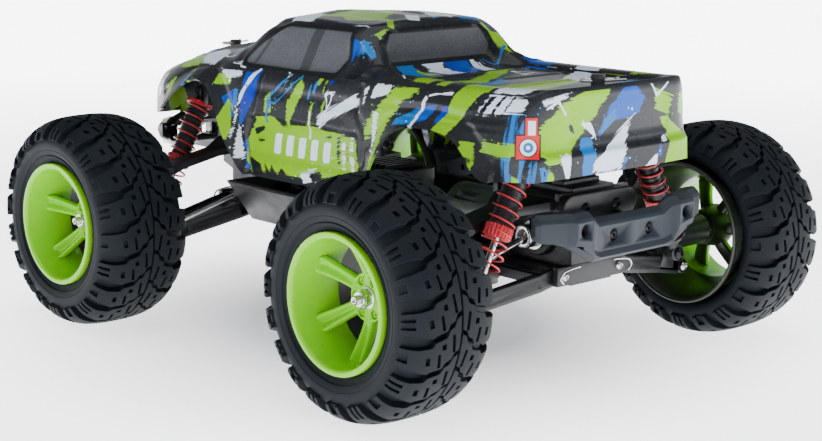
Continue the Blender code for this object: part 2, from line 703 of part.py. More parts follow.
def rear_bumper_mesh():
    """Angular rear bar: stepped middle, raised ends and two mounting legs."""
    plan = [(-51, 139), (-45, 138), (-34, 144), (34, 144), (45, 138), (51, 139), (52, 142),
            (38, 151), (30, 151), (24, 148.5), (-24, 148.5), (-30, 151), (-38, 151), (-52, 142)]
    face = [(-54, 72), (-38, 69.5), (-27, 61), (27, 61), (38, 69.5), (54, 72), (54, 83.5),
            (27, 83.5), (21, 78.5), (-21, 78.5), (-27, 83.5), (-54, 83.5)]
    bar = prism(plan, 55, 90, "Z")
    bar = combined(bar, prism(face, 130, 160, "Y"), "INTERSECT")
    for side in (-1, 1):
        leg = box((side * 11.7 - 4, 126.3, 66), (side * 11.7 + 4, 146, 75))
        hole = rod((side * 33, 120, 76.5), (side * 33, 160, 76.5), 3.2, 10)
        bar = cut(joined(bar, leg), hole)
    return bar


def front_bumper_mesh():
    """Swept front bar under the nose with a tow window and two mounting legs."""
    plan = [(-40, -148), (-35, -148), (-26, -161), (26, -161), (35, -148), (40, -148), (38, -154),
            (30, -166), (20, -170.5), (-20, -170.5), (-30, -166), (-38, -154)]
    face = [(-42, 80), (-24, 72), (24, 72), (42, 80), (42, 88.3), (-42, 88.3)]
    bar = prism(plan, 60, 95, "Z")
    bar = combined(bar, prism(face, -180, -140, "Y"), "INTERSECT")
    for side in (-1, 1):
        leg = box((side * 15.5 - 3, -165, 74), (side * 15.5 + 3, -122.5, 81))
        bar = joined(bar, leg)
    return cut(bar, box((-6, -180, 77), (6, -150, 84)))


def add_chassis():
    place("chassis_tub", chassis_tub_mesh(), "black_nylon")
    place("front_bulkhead", front_bulkhead_mesh(), "black_nylon")
    place("rear_gearbox", rear_gearbox_mesh(), "black_nylon")
    place("front_shock_tower", tower_mesh(FRONT_SHOCK_Y + 8.0, FRONT_SHOCK_Y, FRONT_POST_Y), "black_nylon")
    place("rear_shock_tower", tower_mesh(REAR_SHOCK_Y - 8.0, REAR_SHOCK_Y, REAR_POST_Y), "black_nylon")
    place("front_bumper", front_bumper_mesh(), "bumper_black")
    place("rear_bumper", rear_bumper_mesh(), "bumper_grey")
    place("battery_pack", box((-16, -35, 48.6), (16, 32, 66.5)), "pack_blue")
    place("receiver_esc", box((-14, -31, 66.9), (14, 8, 79.0)), "black_nylon")
    place("battery_cover", battery_cover_mesh(), "black_nylon", (19.6, 0, 44.5))
    place("power_switch", power_switch_mesh(), "black_nylon", (0, 61.75, 46.0))


# ---------------------------------------------------------------- body shell

# Half sections from the sill up to the middle: sill, flank, widest line, belt, glass foot,
# glass head, roof shoulder and crown, each as (x, z), at a distance y along the truck.
NOSE_LIP = [(44, -154, 86), (41, -157, 86), (37, -160, 86), (31, -163, 86), (24, -165, 86),
            (16, -166, 86), (8, -167, 86), (0, -167, 86)]
NOSE_TOP = [(49, -150, 84), (50, -151, 96), (47, -155, 106), (38, -161, 113), (30, -163.5, 115.5),
            (20, -165, 117), (10, -166, 118), (0, -166, 118)]
STATIONS = {
    -140: [(56, 82), (58, 96), (57, 109), (49, 118), (41, 121), (29, 124), (14, 126.5), (0, 127)],
    -120: [(59, 80), (61, 98), (60, 112), (53, 121), (45, 125), (31, 128), (15, 130.5), (0, 131)],
    -98: [(60, 78), (62, 98), (61, 113), (55, 123), (47, 127), (33, 131), (16, 133.5), (0, 134)],
    -82: [(60, 76), (62, 97), (61, 113), (56, 124.5), (49, 128), (37, 132.5), (18, 136), (0, 137)],
    -66: [(60, 75), (63, 96), (61, 112), (57, 125), (52, 128.5), (45, 136), (27, 142.5), (0, 145)],
    -46: [(60, 75), (63, 96), (61, 112), (57, 125.5), (53, 129), (44, 147), (34, 151.5), (0, 154)],
    -20: [(60, 75), (63, 96), (61, 112), (57, 126), (53, 129.5), (43.5, 149), (36, 153), (0, 155.5)],
    8: [(60, 76), (63, 97), (61, 112), (57, 127), (53, 130), (44, 149), (37, 152.5), (0, 155)],
    23: [(60, 77), (63, 98), (61, 113), (57, 128), (52, 131), (44, 142), (33, 147), (0, 149.5)],
    29: [(60, 78), (62, 99), (61, 113), (57, 129), (51, 132), (43, 135), (31, 136), (0, 136.5)],
    45: [(60, 80), (62, 100), (61, 114), (57, 129), (51, 132.5), (44, 133), (39, 130.5), (0, 130.5)],
    85: [(60, 82), (62, 102), (61, 116), (56, 129), (51, 133), (44, 133.5), (39, 131), (0, 131)],
    122: [(60, 86), (62, 102), (61, 115), (55, 128.5), (50, 133.5), (44, 134), (39, 131.5), (0, 131.5)],
}
TAIL_TOP = [(60, 130, 86), (61.5, 131, 102), (58, 133, 118), (52, 135.5, 130), (47.5, 136.5, 134),
            (41, 137.5, 135), (36, 138, 135), (0, 139, 135)]
TAIL_CREASE = [(57.5, 134.5, 86), (58, 136, 99), (55, 138, 105), (49, 140.5, 107), (44, 141, 107),
               (38, 141.5, 107), (33, 141.7, 107), (0, 142, 107)]
TAIL_LIP = [(55, 135.5, 86), (54, 136.6, 87), (51, 137.6, 88), (46, 138.8, 88), (41, 139.2, 88),
            (36, 139.5, 88), (30, 139.8, 88), (0, 140, 88)]
LOWER_EDGE = [
    (-175, 91), (-152, 95), (-118, 103), (-100, 113), (-84, 118.5), (-68, 108), (-54, 85), (-45, 76.5),
    (0, 77), (37, 80), (47, 92), (58, 108), (70, 113), (92, 113.5), (106, 109), (118, 95), (126, 97),
    (150, 97.5), (150, 40), (-175, 40),
]


def body_rows():
    rows = [NOSE_LIP, NOSE_TOP]
    for y, section in STATIONS.items():
        rows.append([(x, y, z) for x, z in section])
    return rows + [TAIL_TOP, TAIL_CREASE, TAIL_LIP]


def body_shell_mesh():
    """Thin painted shell: nose, hood, cab, bed and tailgate, open below and at the wheel arches."""
    vertices = []
    for row in body_rows():
        left = list(row)
        right = [(-x, y, z) for x, y, z in reversed(row[:-1])]
        vertices.extend(left + right)
    across = 2 * len(NOSE_LIP) - 1
    faces = []
    for i in range(len(vertices) // across - 1):
        for j in range(across - 1):
            a = i * across + j
            faces.append([a, a + across, a + across + 1, a + 1])
    surface = bpy.data.meshes.new("surface")
    surface.from_pydata([Vector(v) * MM for v in vertices], [], faces)
    skin = bpy.data.objects.new("skin", surface)
    bpy.context.scene.collection.objects.link(skin)
    wall = skin.modifiers.new("Wall", "SOLIDIFY")
    wall.thickness = SHELL_WALL * MM
    wall.offset = -1.0
    wall.use_even_offset = True
    depsgraph = bpy.context.evaluated_depsgraph_get()
    shell = bpy.data.meshes.new_from_object(skin.evaluated_get(depsgraph))
    bpy.data.objects.remove(skin)
    outward(shell)
    below = prism(LOWER_EDGE, -90, 90, "X")
    front_hole = rod((0, FRONT_POST_Y, 100), (0, FRONT_POST_Y, 160), POST_RADIUS + 0.6, 12)
    rear_hole = rod((0, REAR_POST_Y, 100), (0, REAR_POST_Y, 160), POST_RADIUS + 0.6, 12)
    return cut(shell, below, front_hole, rear_hole)


# ---------------------------------------------------------------- assembly

def add_corner(tag, side, front):
    axle_y = FRONT_AXLE_Y if front else REAR_AXLE_Y
    shock_y = FRONT_SHOCK_Y if front else REAR_SHOCK_Y
    add_wheel(tag, side, axle_y, front_axle_mesh() if front else rear_axle_mesh())
    add_arms(tag, side, axle_y, FRONT_ARM_HALF if front else REAR_ARM_HALF, shock_y)
    add_shock(tag, side, shock_y)
    carrier = caster_mesh() if front else hub_carrier_mesh()
    place(f"carrier_{tag}", mirrored(carrier, side), "black_nylon", (0, axle_y, 0))
    if front:
        knuckle = mirrored(knuckle_mesh(), side)
        place(f"knuckle_{tag}", knuckle, "black_nylon", (side * KINGPIN_X, axle_y, 0))


def build():
    for obj in list(bpy.data.objects):
        bpy.data.objects.remove(obj)
    add_corner("fl", 1, True)
    add_corner("fr", -1, True)
    add_corner("rl", 1, False)
    add_corner("rr", -1, False)
    add_steering()
    add_drivetrain()
    add_chassis()
    place("body_shell", body_shell_mesh(), "shell_paint")


build()
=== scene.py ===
"""Looks of the radio-controlled monster truck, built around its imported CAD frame.

Points and sizes are in millimetres unless a name says otherwise, and become metres as meshes are
made. Shapes are drawn with y = 0 midway between the axles, as in the CAD source; TRUCK_SHIFT then
moves them into the row frame. +X is the truck's left side, -Y its nose, +Z up.
"""

import math

import bmesh
import bpy
import numpy as np
from mathutils import Matrix, Vector


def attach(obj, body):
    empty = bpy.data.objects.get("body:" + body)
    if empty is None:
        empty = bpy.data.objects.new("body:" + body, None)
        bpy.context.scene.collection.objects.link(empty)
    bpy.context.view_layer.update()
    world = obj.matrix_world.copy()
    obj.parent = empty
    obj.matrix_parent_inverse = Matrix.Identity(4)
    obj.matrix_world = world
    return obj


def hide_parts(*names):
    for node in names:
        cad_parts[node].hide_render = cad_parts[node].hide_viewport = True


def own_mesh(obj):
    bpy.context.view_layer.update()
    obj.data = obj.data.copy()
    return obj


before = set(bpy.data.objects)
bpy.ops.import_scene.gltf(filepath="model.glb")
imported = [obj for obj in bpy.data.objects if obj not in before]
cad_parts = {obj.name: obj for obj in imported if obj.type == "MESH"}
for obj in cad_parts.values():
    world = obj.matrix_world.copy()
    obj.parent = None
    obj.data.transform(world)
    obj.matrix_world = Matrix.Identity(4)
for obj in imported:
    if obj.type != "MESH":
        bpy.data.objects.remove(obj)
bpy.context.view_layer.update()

MM = 0.001
TRUCK_SHIFT = Vector((0.0, 6.5, 0.0))

TYRE_RADIUS = 52.0
WHEEL_X = 111.0
AXLE_Z = 52.0
FRONT_AXLE_Y = -105.5
REAR_AXLE_Y = 105.5
CORNERS = {"fl": (1, FRONT_AXLE_Y), "fr": (-1, FRONT_AXLE_Y),
           "rl": (1, REAR_AXLE_Y), "rr": (-1, REAR_AXLE_Y)}


# ---------------------------------------------------------------- mesh helpers

def new_mesh(vertices, faces, name="shape", smooth=35.0):
    mesh = bpy.data.meshes.new(name)
    mesh.from_pydata([tuple(c * MM for c in v) for v in vertices], [], faces)
    tidy(mesh)
    shade(mesh, smooth)
    return mesh


def tidy(mesh):
    bm = bmesh.new()
    bm.from_mesh(mesh)
    bmesh.ops.recalc_face_normals(bm, faces=bm.faces)
    bm.to_mesh(mesh)
    bm.free()


def shade(mesh, angle=35.0):
    if angle:
        mesh.shade_smooth()
        mesh.set_sharp_from_angle(angle=math.radians(angle))
    return mesh


def evaluated(mesh, *modifiers):
    """Apply modifiers, each given as (type, settings), to a mesh and return the new mesh."""
    holder = bpy.data.objects.new("holder", mesh)
    bpy.context.scene.collection.objects.link(holder)
    for kind, settings in modifiers:
        modifier = holder.modifiers.new(kind, kind)
        for key, value in settings.items():
            setattr(modifier, key, value)
    depsgraph = bpy.context.evaluated_depsgraph_get()
    result = bpy.data.meshes.new_from_object(holder.evaluated_get(depsgraph))
    bpy.data.objects.remove(holder)
    return result


def boolean(base, tool, operation="DIFFERENCE", solver="EXACT"):
    cutter = bpy.data.objects.new("cutter", tool)
    bpy.context.scene.collection.objects.link(cutter)
    result = evaluated(base, ("BOOLEAN", {"object": cutter, "operation": operation, "solver": solver}))
    bpy.data.objects.remove(cutter)
    return result


def bevelled(mesh, width, segments=2, angle=30.0, smooth=35.0):
    settings = {"width": width * MM, "segments": segments, "limit_method": "ANGLE",
                "angle_limit": math.radians(angle), "harden_normals": False}
    return shade(evaluated(mesh, ("BEVEL", settings)), smooth)


def merged(meshes):
    """One mesh from several, with no Boolean: each stays its own closed shell."""
    bm = bmesh.new()
    for mesh in meshes:
        bm.from_mesh(mesh)
    result = bpy.data.meshes.new("merged")
    bm.to_mesh(result)
    bm.free()
    return result


def moved(mesh, offset=(0, 0, 0), turn=None):
    if turn is not None:
        mesh.transform(turn)
    mesh.transform(Matrix.Translation(Vector(offset) * MM))
    return mesh


def mirrored(mesh, side):
    if side < 0:
        mesh.transform(Matrix.Scale(-1, 4, (1, 0, 0)))
        mesh.flip_normals()
    return mesh


def rings_mesh(rings, closed_ends=True, closed_rings=True, smooth=35.0):
    count = len(rings[0])
    vertices = [tuple(p) for ring in rings for p in ring]
    faces = []
    for i in range(len(rings) - 1):
        for j in range(count if closed_rings else count - 1):
            k = (j + 1) % count
            faces.append((i * count + j, i * count + k, (i + 1) * count + k, (i + 1) * count + j))
    if closed_ends:
        faces.append(tuple(range(count)))
        faces.append(tuple(range(len(vertices) - count, len(vertices))))
    return new_mesh(vertices, faces, smooth=smooth)


def turned_ring(profile, segments=96, closed=True, smooth=35.0):
    """Turn (x, radius) points about the X axis; closed joins the last point to the first."""
    vertices, faces, count = [], [], len(profile)
    for i in range(segments):
        angle = math.tau * i / segments
        for x, radius in profile:
            vertices.append((x, radius * math.sin(angle), radius * math.cos(angle)))
    for i in range(segments):
        a, b = i * count, (i + 1) % segments * count
        for j in range(count if closed else count - 1):
            k = (j + 1) % count
            faces.append((a + j, a + k, b + k, b + j))
    return new_mesh(vertices, faces, smooth=smooth)


def turned_bar(profile, segments=32, smooth=35.0):
    """Turn (x, radius) points about the X axis into a solid bar with flat ends."""
    rings = []
    for x, radius in profile:
        ring = []
        for i in range(segments):
            angle = math.tau * i / segments
            ring.append((x, radius * math.sin(angle), radius * math.cos(angle)))
        rings.append(ring)
    return rings_mesh(rings, smooth=smooth)


def box_mesh(low, high):
    (x0, y0, z0), (x1, y1, z1) = low, high
    lower = [(x0, y0, z0), (x1, y0, z0), (x1, y1, z0), (x0, y1, z0)]
    upper = [(x0, y0, z1), (x1, y0, z1), (x1, y1, z1), (x0, y1, z1)]
    return rings_mesh([lower, upper])


def prism_mesh(outline, start, end, axis):
    """Extrude (across, up) points along X, Y or Z."""
    place_point = {"X": lambda a, c, u: (a, c, u), "Y": lambda a, c, u: (c, a, u),
                   "Z": lambda a, c, u: (c, u, a)}[axis]
    return rings_mesh([[place_point(along, c, u) for c, u in outline] for along in (start, end)])


def aligned(mesh, start, end):
    """Turn a shape drawn along +X from the origin so that it starts at start and points to end."""
    direction = Vector(end) - Vector(start)
    turn = direction.to_track_quat("X", "Z").to_matrix().to_4x4()
    return moved(mesh, start, turn)


def tube_mesh(points, radius, segments=10, closed=False):
    """A round wire along a run of points, with rings turned smoothly from one to the next."""
    points = [Vector(p) for p in points]
    count = len(points)
    rings, normal = [], None
    for i, point in enumerate(points):
        if closed:
            tangent = points[(i + 1) % count] - points[i - 1]
        else:
            tangent = points[min(i + 1, count - 1)] - points[max(i - 1, 0)]
        tangent.normalize()
        if normal is None:
            normal = tangent.orthogonal().normalized()
        normal = (normal - tangent * normal.dot(tangent)).normalized()
        across = tangent.cross(normal)
        ring = []
        for j in range(segments):
            angle = math.tau * j / segments
            ring.append(point + (normal * math.cos(angle) + across * math.sin(angle)) * radius)
        rings.append(ring)
    if closed:
        rings.append(rings[0])
    return rings_mesh(rings, closed_ends=not closed, smooth=60.0)


def smooth_run(points, steps=8, closed=False):
    """Catmull-Rom points through a run of control points."""
    points = [Vector(p) for p in points]
    count = len(points)
    spans = count if closed else count - 1
    result = []
    for i in range(spans):
        if closed:
            a, b, c, d = (points[(i + k) % count] for k in (-1, 0, 1, 2))
        else:
            a, b, c, d = (points[min(max(i + k, 0), count - 1)] for k in (-1, 0, 1, 2))
        for step in range(steps):
            t = step / steps
            result.append(0.5 * (2 * b + (c - a) * t + (2 * a - 5 * b + 4 * c - d) * t * t
                                 + (3 * b - a - 3 * c + d) * t ** 3))
    if not closed:
        result.append(points[-1])
    return result


def add_piece(name, mesh, material, body, replaces=(), location=(0, 0, 0)):
    """Make a visible piece from a mesh drawn in the truck's own coordinates."""
    mesh.name = name
    mesh.materials.clear()
    mesh.materials.append(material)
    piece = bpy.data.objects.new(name, mesh)
    piece.location = (Vector(location) + TRUCK_SHIFT) * MM
    bpy.context.scene.collection.objects.link(piece)
    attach(piece, body)
    if replaces:
        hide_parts(*replaces)
    return piece


# ---------------------------------------------------------------- materials

def add_node(tree, kind, inputs=None, **settings):
    made = tree.nodes.new("ShaderNode" + kind)
    for key, value in settings.items():
        setattr(made, key, value)
    for key, value in (inputs or {}).items():
        if isinstance(value, bpy.types.NodeSocket):
            tree.links.new(value, made.inputs[key])
        else:
            made.inputs[key].default_value = value
    return made


def maths(tree, operation, *values, clamp=False):
    made = add_node(tree, "Math", dict(enumerate(values)), operation=operation, use_clamp=clamp)
    return made.outputs[0]


def mix_colour(tree, factor, first, second):
    made = tree.nodes.new("ShaderNodeMix")
    made.data_type = "RGBA"
    for socket, value in ((made.inputs[0], factor), (made.inputs[6], first), (made.inputs[7], second)):
        if isinstance(value, bpy.types.NodeSocket):
            tree.links.new(value, socket)
        elif socket == made.inputs[0]:
            socket.default_value = value
        else:
            socket.default_value = (*value[:3], 1.0)
    return made.outputs[2]


def noise_of(tree, scale, detail=3.0, roughness=0.5, stretch=None):
    position = add_node(tree, "TexCoord").outputs["Object"]
    if stretch:
        position = add_node(tree, "Mapping", {"Vector": position, "Scale": stretch}).outputs[0]
    return add_node(tree, "TexNoise", {"Vector": position, "Scale": scale, "Detail": detail,
                                       "Roughness": roughness}).outputs["Fac"]


def remap(tree, value, low, high, to_low=0.0, to_high=1.0):
    return add_node(tree, "MapRange", {"Value": value, "From Min": low, "From Max": high,
                                       "To Min": to_low, "To Max": to_high}).outputs[0]


def surface(name, colour, roughness, metallic=0.0, mottle=0.15, patch_scale=60.0, grain_scale=2500.0,
            grain=0.08, rough_spread=0.08, coat=0.0, specular=0.5, dust=None):
    """A moulded, cast or turned finish: patchy tone, uneven gloss, fine grain and optional dust."""
    made = bpy.data.materials.new(name)
    made.use_nodes = True
    tree = made.node_tree
    shader = tree.nodes["Principled BSDF"]
    patches = noise_of(tree, patch_scale, 4.0, 0.6)
    darker = tuple(c * (1 - mottle) for c in colour)
    lighter = tuple(min(1.0, c * (1 + mottle)) for c in colour)
    tone = mix_colour(tree, remap(tree, patches, 0.3, 0.7), darker, lighter)
    fine = noise_of(tree, grain_scale, 2.0, 0.6)
    if dust:
        specks = remap(tree, noise_of(tree, 900.0, 2.0, 0.7), 0.62, 0.78)
        tone = mix_colour(tree, maths(tree, "MULTIPLY", specks, dust[1]), tone, dust[0])
    tree.links.new(tone, shader.inputs["Base Color"])
    spread = remap(tree, patches, 0.25, 0.75, roughness - rough_spread, roughness + rough_spread)
    tree.links.new(spread, shader.inputs["Roughness"])
    shader.inputs["Metallic"].default_value = metallic
    shader.inputs["Coat Weight"].default_value = coat
    shader.inputs["Coat Roughness"].default_value = 0.08
    shader.inputs["Specular IOR Level"].default_value = specular
    bump = add_node(tree, "Bump", {"Strength": grain, "Distance": 0.0002, "Height": fine})
    tree.links.new(bump.outputs[0], shader.inputs["Normal"])
    return made


RUBBER = surface("tyre_rubber", (0.0052, 0.0075, 0.0105), 0.60, mottle=0.22, patch_scale=45.0, grain=0.25,
                 grain_scale=1800.0, rough_spread=0.10, specular=0.15, dust=((0.05, 0.055, 0.06), 0.10))
LIME_RIM = surface("rim_green", (0.20, 0.56, 0.0), 0.27, mottle=0.05, patch_scale=25.0, grain=0.03,
                   rough_spread=0.06, coat=0.05, specular=0.3)
RIM_BACK = surface("rim_back", (0.009, 0.013, 0.007), 0.34, mottle=0.35, patch_scale=30.0, grain=0.05,
                   dust=((0.10, 0.22, 0.004), 0.35))
STEEL = surface("steel", (0.62, 0.61, 0.60), 0.24, metallic=1.0, mottle=0.10, patch_scale=180.0,
                grain=0.10, rough_spread=0.08)
BLACK_NYLON = surface("black_nylon", (0.0075, 0.0082, 0.0098), 0.42, mottle=0.25, patch_scale=70.0,
                      grain=0.22, rough_spread=0.09, dust=((0.08, 0.085, 0.09), 0.10))
BUMPER_GREY = surface("bumper_grey", (0.0140, 0.0190, 0.0270), 0.46, mottle=0.10, patch_scale=70.0,
                      grain=0.30, rough_spread=0.07, specular=0.3)
BUMPER_BLACK = surface("bumper_black", (0.008, 0.008, 0.009), 0.16, mottle=0.20, grain=0.04,
                       rough_spread=0.05, coat=0.3)
SHOCK_BLACK = surface("shock_black", (0.012, 0.012, 0.014), 0.38, mottle=0.25, grain=0.12)
SPRING_RED = surface("spring_red", (0.52, 0.022, 0.030), 0.32, mottle=0.12, grain=0.06, coat=0.3)
MOTOR_CAN = surface("motor_can", (0.42, 0.42, 0.44), 0.34, metallic=1.0, mottle=0.10, grain=0.12)
PACK_BLUE = surface("pack_blue", (0.03, 0.09, 0.35), 0.42, mottle=0.12, grain=0.08)
BLACK_STEEL = surface("screw_black", (0.020, 0.020, 0.022), 0.32, metallic=0.7, mottle=0.2, grain=0.08)


# ---------------------------------------------------------------- tyres

PITCHES = 20
PITCH = math.tau * TYRE_RADIUS / PITCHES
TREAD_HEIGHT = 3.0
OUTER_PROFILE = [(0, 49.0), (6, 48.9), (12, 48.3), (16.5, 46.9), (20.0, 44.4), (22.5, 41.3), (23.3, 38.0),
                 (22.6, 34.5), (21.3, 31.6), (20.6, 30.2)]
INNER_PROFILE = [(0, 49.0), (6, 48.9), (12, 48.3), (16.5, 46.9), (20.0, 44.6), (22.5, 42.0), (23.3, 39.6),
                 (22.6, 37.2), (21.4, 35.8), (20.6, 35.2)]
# One lug from the centre groove out to the shoulder, as (across, around) in the unrolled tread
LEADING = [(0.45, 0.2), (2.9, 1.6), (4.0, 4.5), (6.2, 5.5), (7.4, 8.5), (12.4, 10.1), (13.6, 12.2),
           (18.4, 13.2), (25.2, 13.5)]
GROOVE = [1.9, 2.0, 2.3, 2.2, 2.6, 2.9, 3.9, 5.9, 6.6]
PLAIN_SLOTS = [(3.6, 11.6, 1.3, 7.6, 8), (9.6, 18.6, 1.3, 6.2, 10), (8.3, 12.4, 1.9, 2.3, 10),
               (14.4, 18.4, 1.6, 3.4, 8)]
FORKED_SLOTS = [(22.6, 16.4, 5.6, 1.4, 4), (22.6, 20.0, 5.6, 1.4, 4)]
CUPPED_SLOTS = [(23.6, 18.3, 4.2, 4.2, 3)]


def profile_table(profile):
    """Arc length, position and outward normal along a smooth run of (x, radius) points."""
    run = smooth_run([(x, r, 0) for x, r in profile], 8)
    xs = np.array([p.x for p in run])
    rs = np.array([p.y for p in run])
    lengths = np.concatenate([[0], np.cumsum(np.hypot(np.diff(xs), np.diff(rs)))])
    tangent_x, tangent_r = np.gradient(xs, lengths), np.gradient(rs, lengths)
    scale = np.hypot(tangent_x, tangent_r)
    return lengths, xs, rs, -tangent_r / scale, tangent_x / scale


OUTER_TABLE = profile_table(OUTER_PROFILE)
INNER_TABLE = profile_table(INNER_PROFILE)


def wrap_tread(u, v, h):
    """Lay an unrolled tread point (across, around, height) on the tyre."""
    lengths, xs, rs, normal_x, normal_r = OUTER_TABLE if u >= 0 else INNER_TABLE
    side = 1 if u >= 0 else -1
    s = abs(u)
    x = np.interp(s, lengths, xs) + h * np.interp(s, lengths, normal_x)
    radius = np.interp(s, lengths, rs) + h * np.interp(s, lengths, normal_r)
    angle = v / TYRE_RADIUS
    return side * x, radius * math.sin(angle), radius * math.cos(angle)


def flat_slot(u, v, width, length, lean, floor):
    cosine, sine = math.cos(math.radians(lean)), math.sin(math.radians(lean))
    outline = []
    for a, b in ((-1, -1), (1, -1), (1, 1), (-1, 1)):
        du, dv = a * width / 2, b * length / 2
        outline.append((u + du * cosine - dv * sine, v + du * sine + dv * cosine))
    return prism_mesh(outline, floor, 6.0, "Z")


def flat_lug(slots):
    trailing = [(u, v + PITCH - gap) for (u, v), gap in zip(LEADING, GROOVE)]
    lug = prism_mesh(LEADING + trailing[::-1], -1.5, TREAD_HEIGHT, "Z")
    for slot in slots:
        lug = boolean(lug, flat_slot(*slot, floor=1.2))
    settings = {"width": 0.30 * MM, "segments": 1, "limit_method": "ANGLE", "angle_limit": math.radians(40)}
    return evaluated(lug, ("BEVEL", settings))


def sliced(mesh, axis, positions):
    """Cut a flat shape into narrow bands, so that it bends smoothly when it is wrapped."""
    bm = bmesh.new()
    bm.from_mesh(mesh)
    normal = Vector((0, 0, 0))
    normal[axis] = 1.0
    for position in positions:
        geometry = bm.verts[:] + bm.edges[:] + bm.faces[:]
        bmesh.ops.bisect_plane(bm, geom=geometry, plane_co=normal * position * MM, plane_no=normal, dist=1e-7)
    bm.to_mesh(mesh)
    bm.free()
    return mesh


def lug_points():
    """Vertices and faces of both kinds of lug, laid flat and ready to wrap."""
    kinds = []
    for extra in (FORKED_SLOTS, CUPPED_SLOTS):
        mesh = flat_lug(PLAIN_SLOTS + extra)
        mesh = sliced(mesh, 0, np.arange(2.0, 25.0, 2.6))
        mesh = sliced(mesh, 1, np.arange(1.5, 31.0, 3.1))
        points = [tuple(c / MM for c in v.co) for v in mesh.vertices]
        kinds.append((points, [tuple(p.vertices) for p in mesh.polygons]))
    return kinds


def carcass_mesh():
    outer = [wrap_tread(u, 0.0, 0.0) for u in np.linspace(0, OUTER_TABLE[0][-1], 30)]
    inner = [wrap_tread(-u, 0.0, 0.0) for u in np.linspace(INNER_TABLE[0][-1], 0.6, 30)]
    lining = [(-19.6, 41.0), (-15.0, 45.2), (0, 46.6), (15.0, 45.2), (19.8, 41.0), (20.2, 35.0)]
    profile = [(x, z) for x, _, z in inner] + [(x, z) for x, _, z in outer] + lining[::-1]
    return turned_ring(profile, 120, smooth=50.0)


def tyre_mesh():
    vertices, faces = [], []
    kinds = lug_points()
    for half in (1, -1):
        for i in range(PITCHES):
            points, polygons = kinds[i % 2]
            start = len(vertices)
            offset = (i + (0.5 if half < 0 else 0.0)) * PITCH
            for u, v, h in points:
                fade = min(1.0, max(0.0, (27.5 - u) / 6.0))
                vertices.append(wrap_tread(half * u, v + offset, h * (0.45 + 0.55 * fade) if h > 0 else h))
            for polygon in polygons:
                faces.append(tuple(start + k for k in (polygon if half > 0 else polygon[::-1])))
    lugs = bpy.data.meshes.new("lugs")
    lugs.from_pydata([tuple(c * MM for c in v) for v in vertices], [], faces)
    shade(lugs, 32.0)
    beads = [turned_ring([(x - 0.5, r), (x, r + 0.45), (x + 0.5, r), (x, r - 0.5)], 96, smooth=60.0)
             for x, r in ((22.75, 36.4), (22.3, 33.6))]
    return merged([lugs, carcass_mesh(), *beads])


# ---------------------------------------------------------------- rims and axle ends

RIM_PROFILE = [
    (16.0, 28.9), (20.6, 29.9), (22.3, 29.95), (22.9, 29.7), (23.1, 29.2), (23.0, 27.8), (22.6, 27.3),
    (21.4, 26.95), (12.0, 26.0), (3.0, 25.3), (0.5, 25.2), (-1.5, 25.3), (-2.6, 25.7), (-14.0, 29.0),
    (-25.6, 32.4),
    (-26.5, 33.0), (-26.8, 33.9), (-26.3, 34.6), (-25.2, 34.7), (-24.4, 33.8), (-14.0, 31.2),
]
SPOKES = 6
HUB_FACE = 4.4


def spoke_mesh():
    """Two ribs with a valley between them, from the hub out to the barrel, along +Z."""
    stations = [(7.0, 3.1, 0.3, HUB_FACE - 0.3), (9.5, 3.1, 0.5, HUB_FACE), (12.5, 3.2, 1.8, 5.4),
                (16.0, 3.4, 2.8, 7.2), (20.0, 3.7, 3.4, 9.4), (23.3, 4.1, 3.8, 11.4), (26.4, 4.6, 3.8, 13.4)]
    rings = []
    for radius, half, valley, front in stations:
        section = [(-half, front - 4.2), (-half, front - 1.2), (-half + 0.5, front - 0.2),
                   (-half + 1.2, front),
                   (-half + 2.0, front - 0.4), (-0.55, front - valley), (0.55, front - valley),
                   (half - 2.0, front - 0.4), (half - 1.2, front), (half - 0.5, front - 0.2),
                   (half, front - 1.2), (half, front - 4.2), (half - 1.2, front - 5.4),
                   (-half + 1.2, front - 5.4)]
        rings.append([(x, t, radius) for t, x in section])
    return shade(evaluated(rings_mesh(rings), ("SUBSURF", {"levels": 2, "render_levels": 2})), 60.0)


def hub_mesh():
    disc = turned_bar([(-7.8, 8.4), (-3.0, 9.6), (HUB_FACE - 1.2, 10.6), (HUB_FACE - 0.3, 10.5),
                       (HUB_FACE, 10.1), (HUB_FACE + 0.05, 2.0)], 80)
    for i in range(SPOKES):
        angle = math.tau * (i + 0.5) / SPOKES
        y, z = 7.7 * math.sin(angle), 7.7 * math.cos(angle)
        pocket = moved(turned_bar([(HUB_FACE - 1.6, 2.05), (8, 2.05)], 24), (0, y, z))
        disc = boolean(disc, pocket)
    for i in range(2 * SPOKES):
        angle = math.tau * (i // 2) / SPOKES + math.radians(-12 + 24 * (i % 2))
        y, z = 8.9 * math.sin(angle), 8.9 * math.cos(angle)
        disc = boolean(disc, moved(turned_bar([(HUB_FACE - 1.4, 0.55), (8, 0.55)], 12), (0, y, z)))
    return bevelled(disc, 0.15, 2)


def rim_finish(mesh):
    """Bare black plastic on every face that looks inboard; the coating covers only the outer side."""
    for polygon in mesh.polygons:
        centre, normal = polygon.center / MM, polygon.normal
        radius = math.hypot(centre.y, centre.z)
        barrel = radius > 24.0 and centre.x < -1.0
        polygon.material_index = 1 if barrel or (normal.x < -0.15 and centre.x < 9.0) else 0
    return mesh


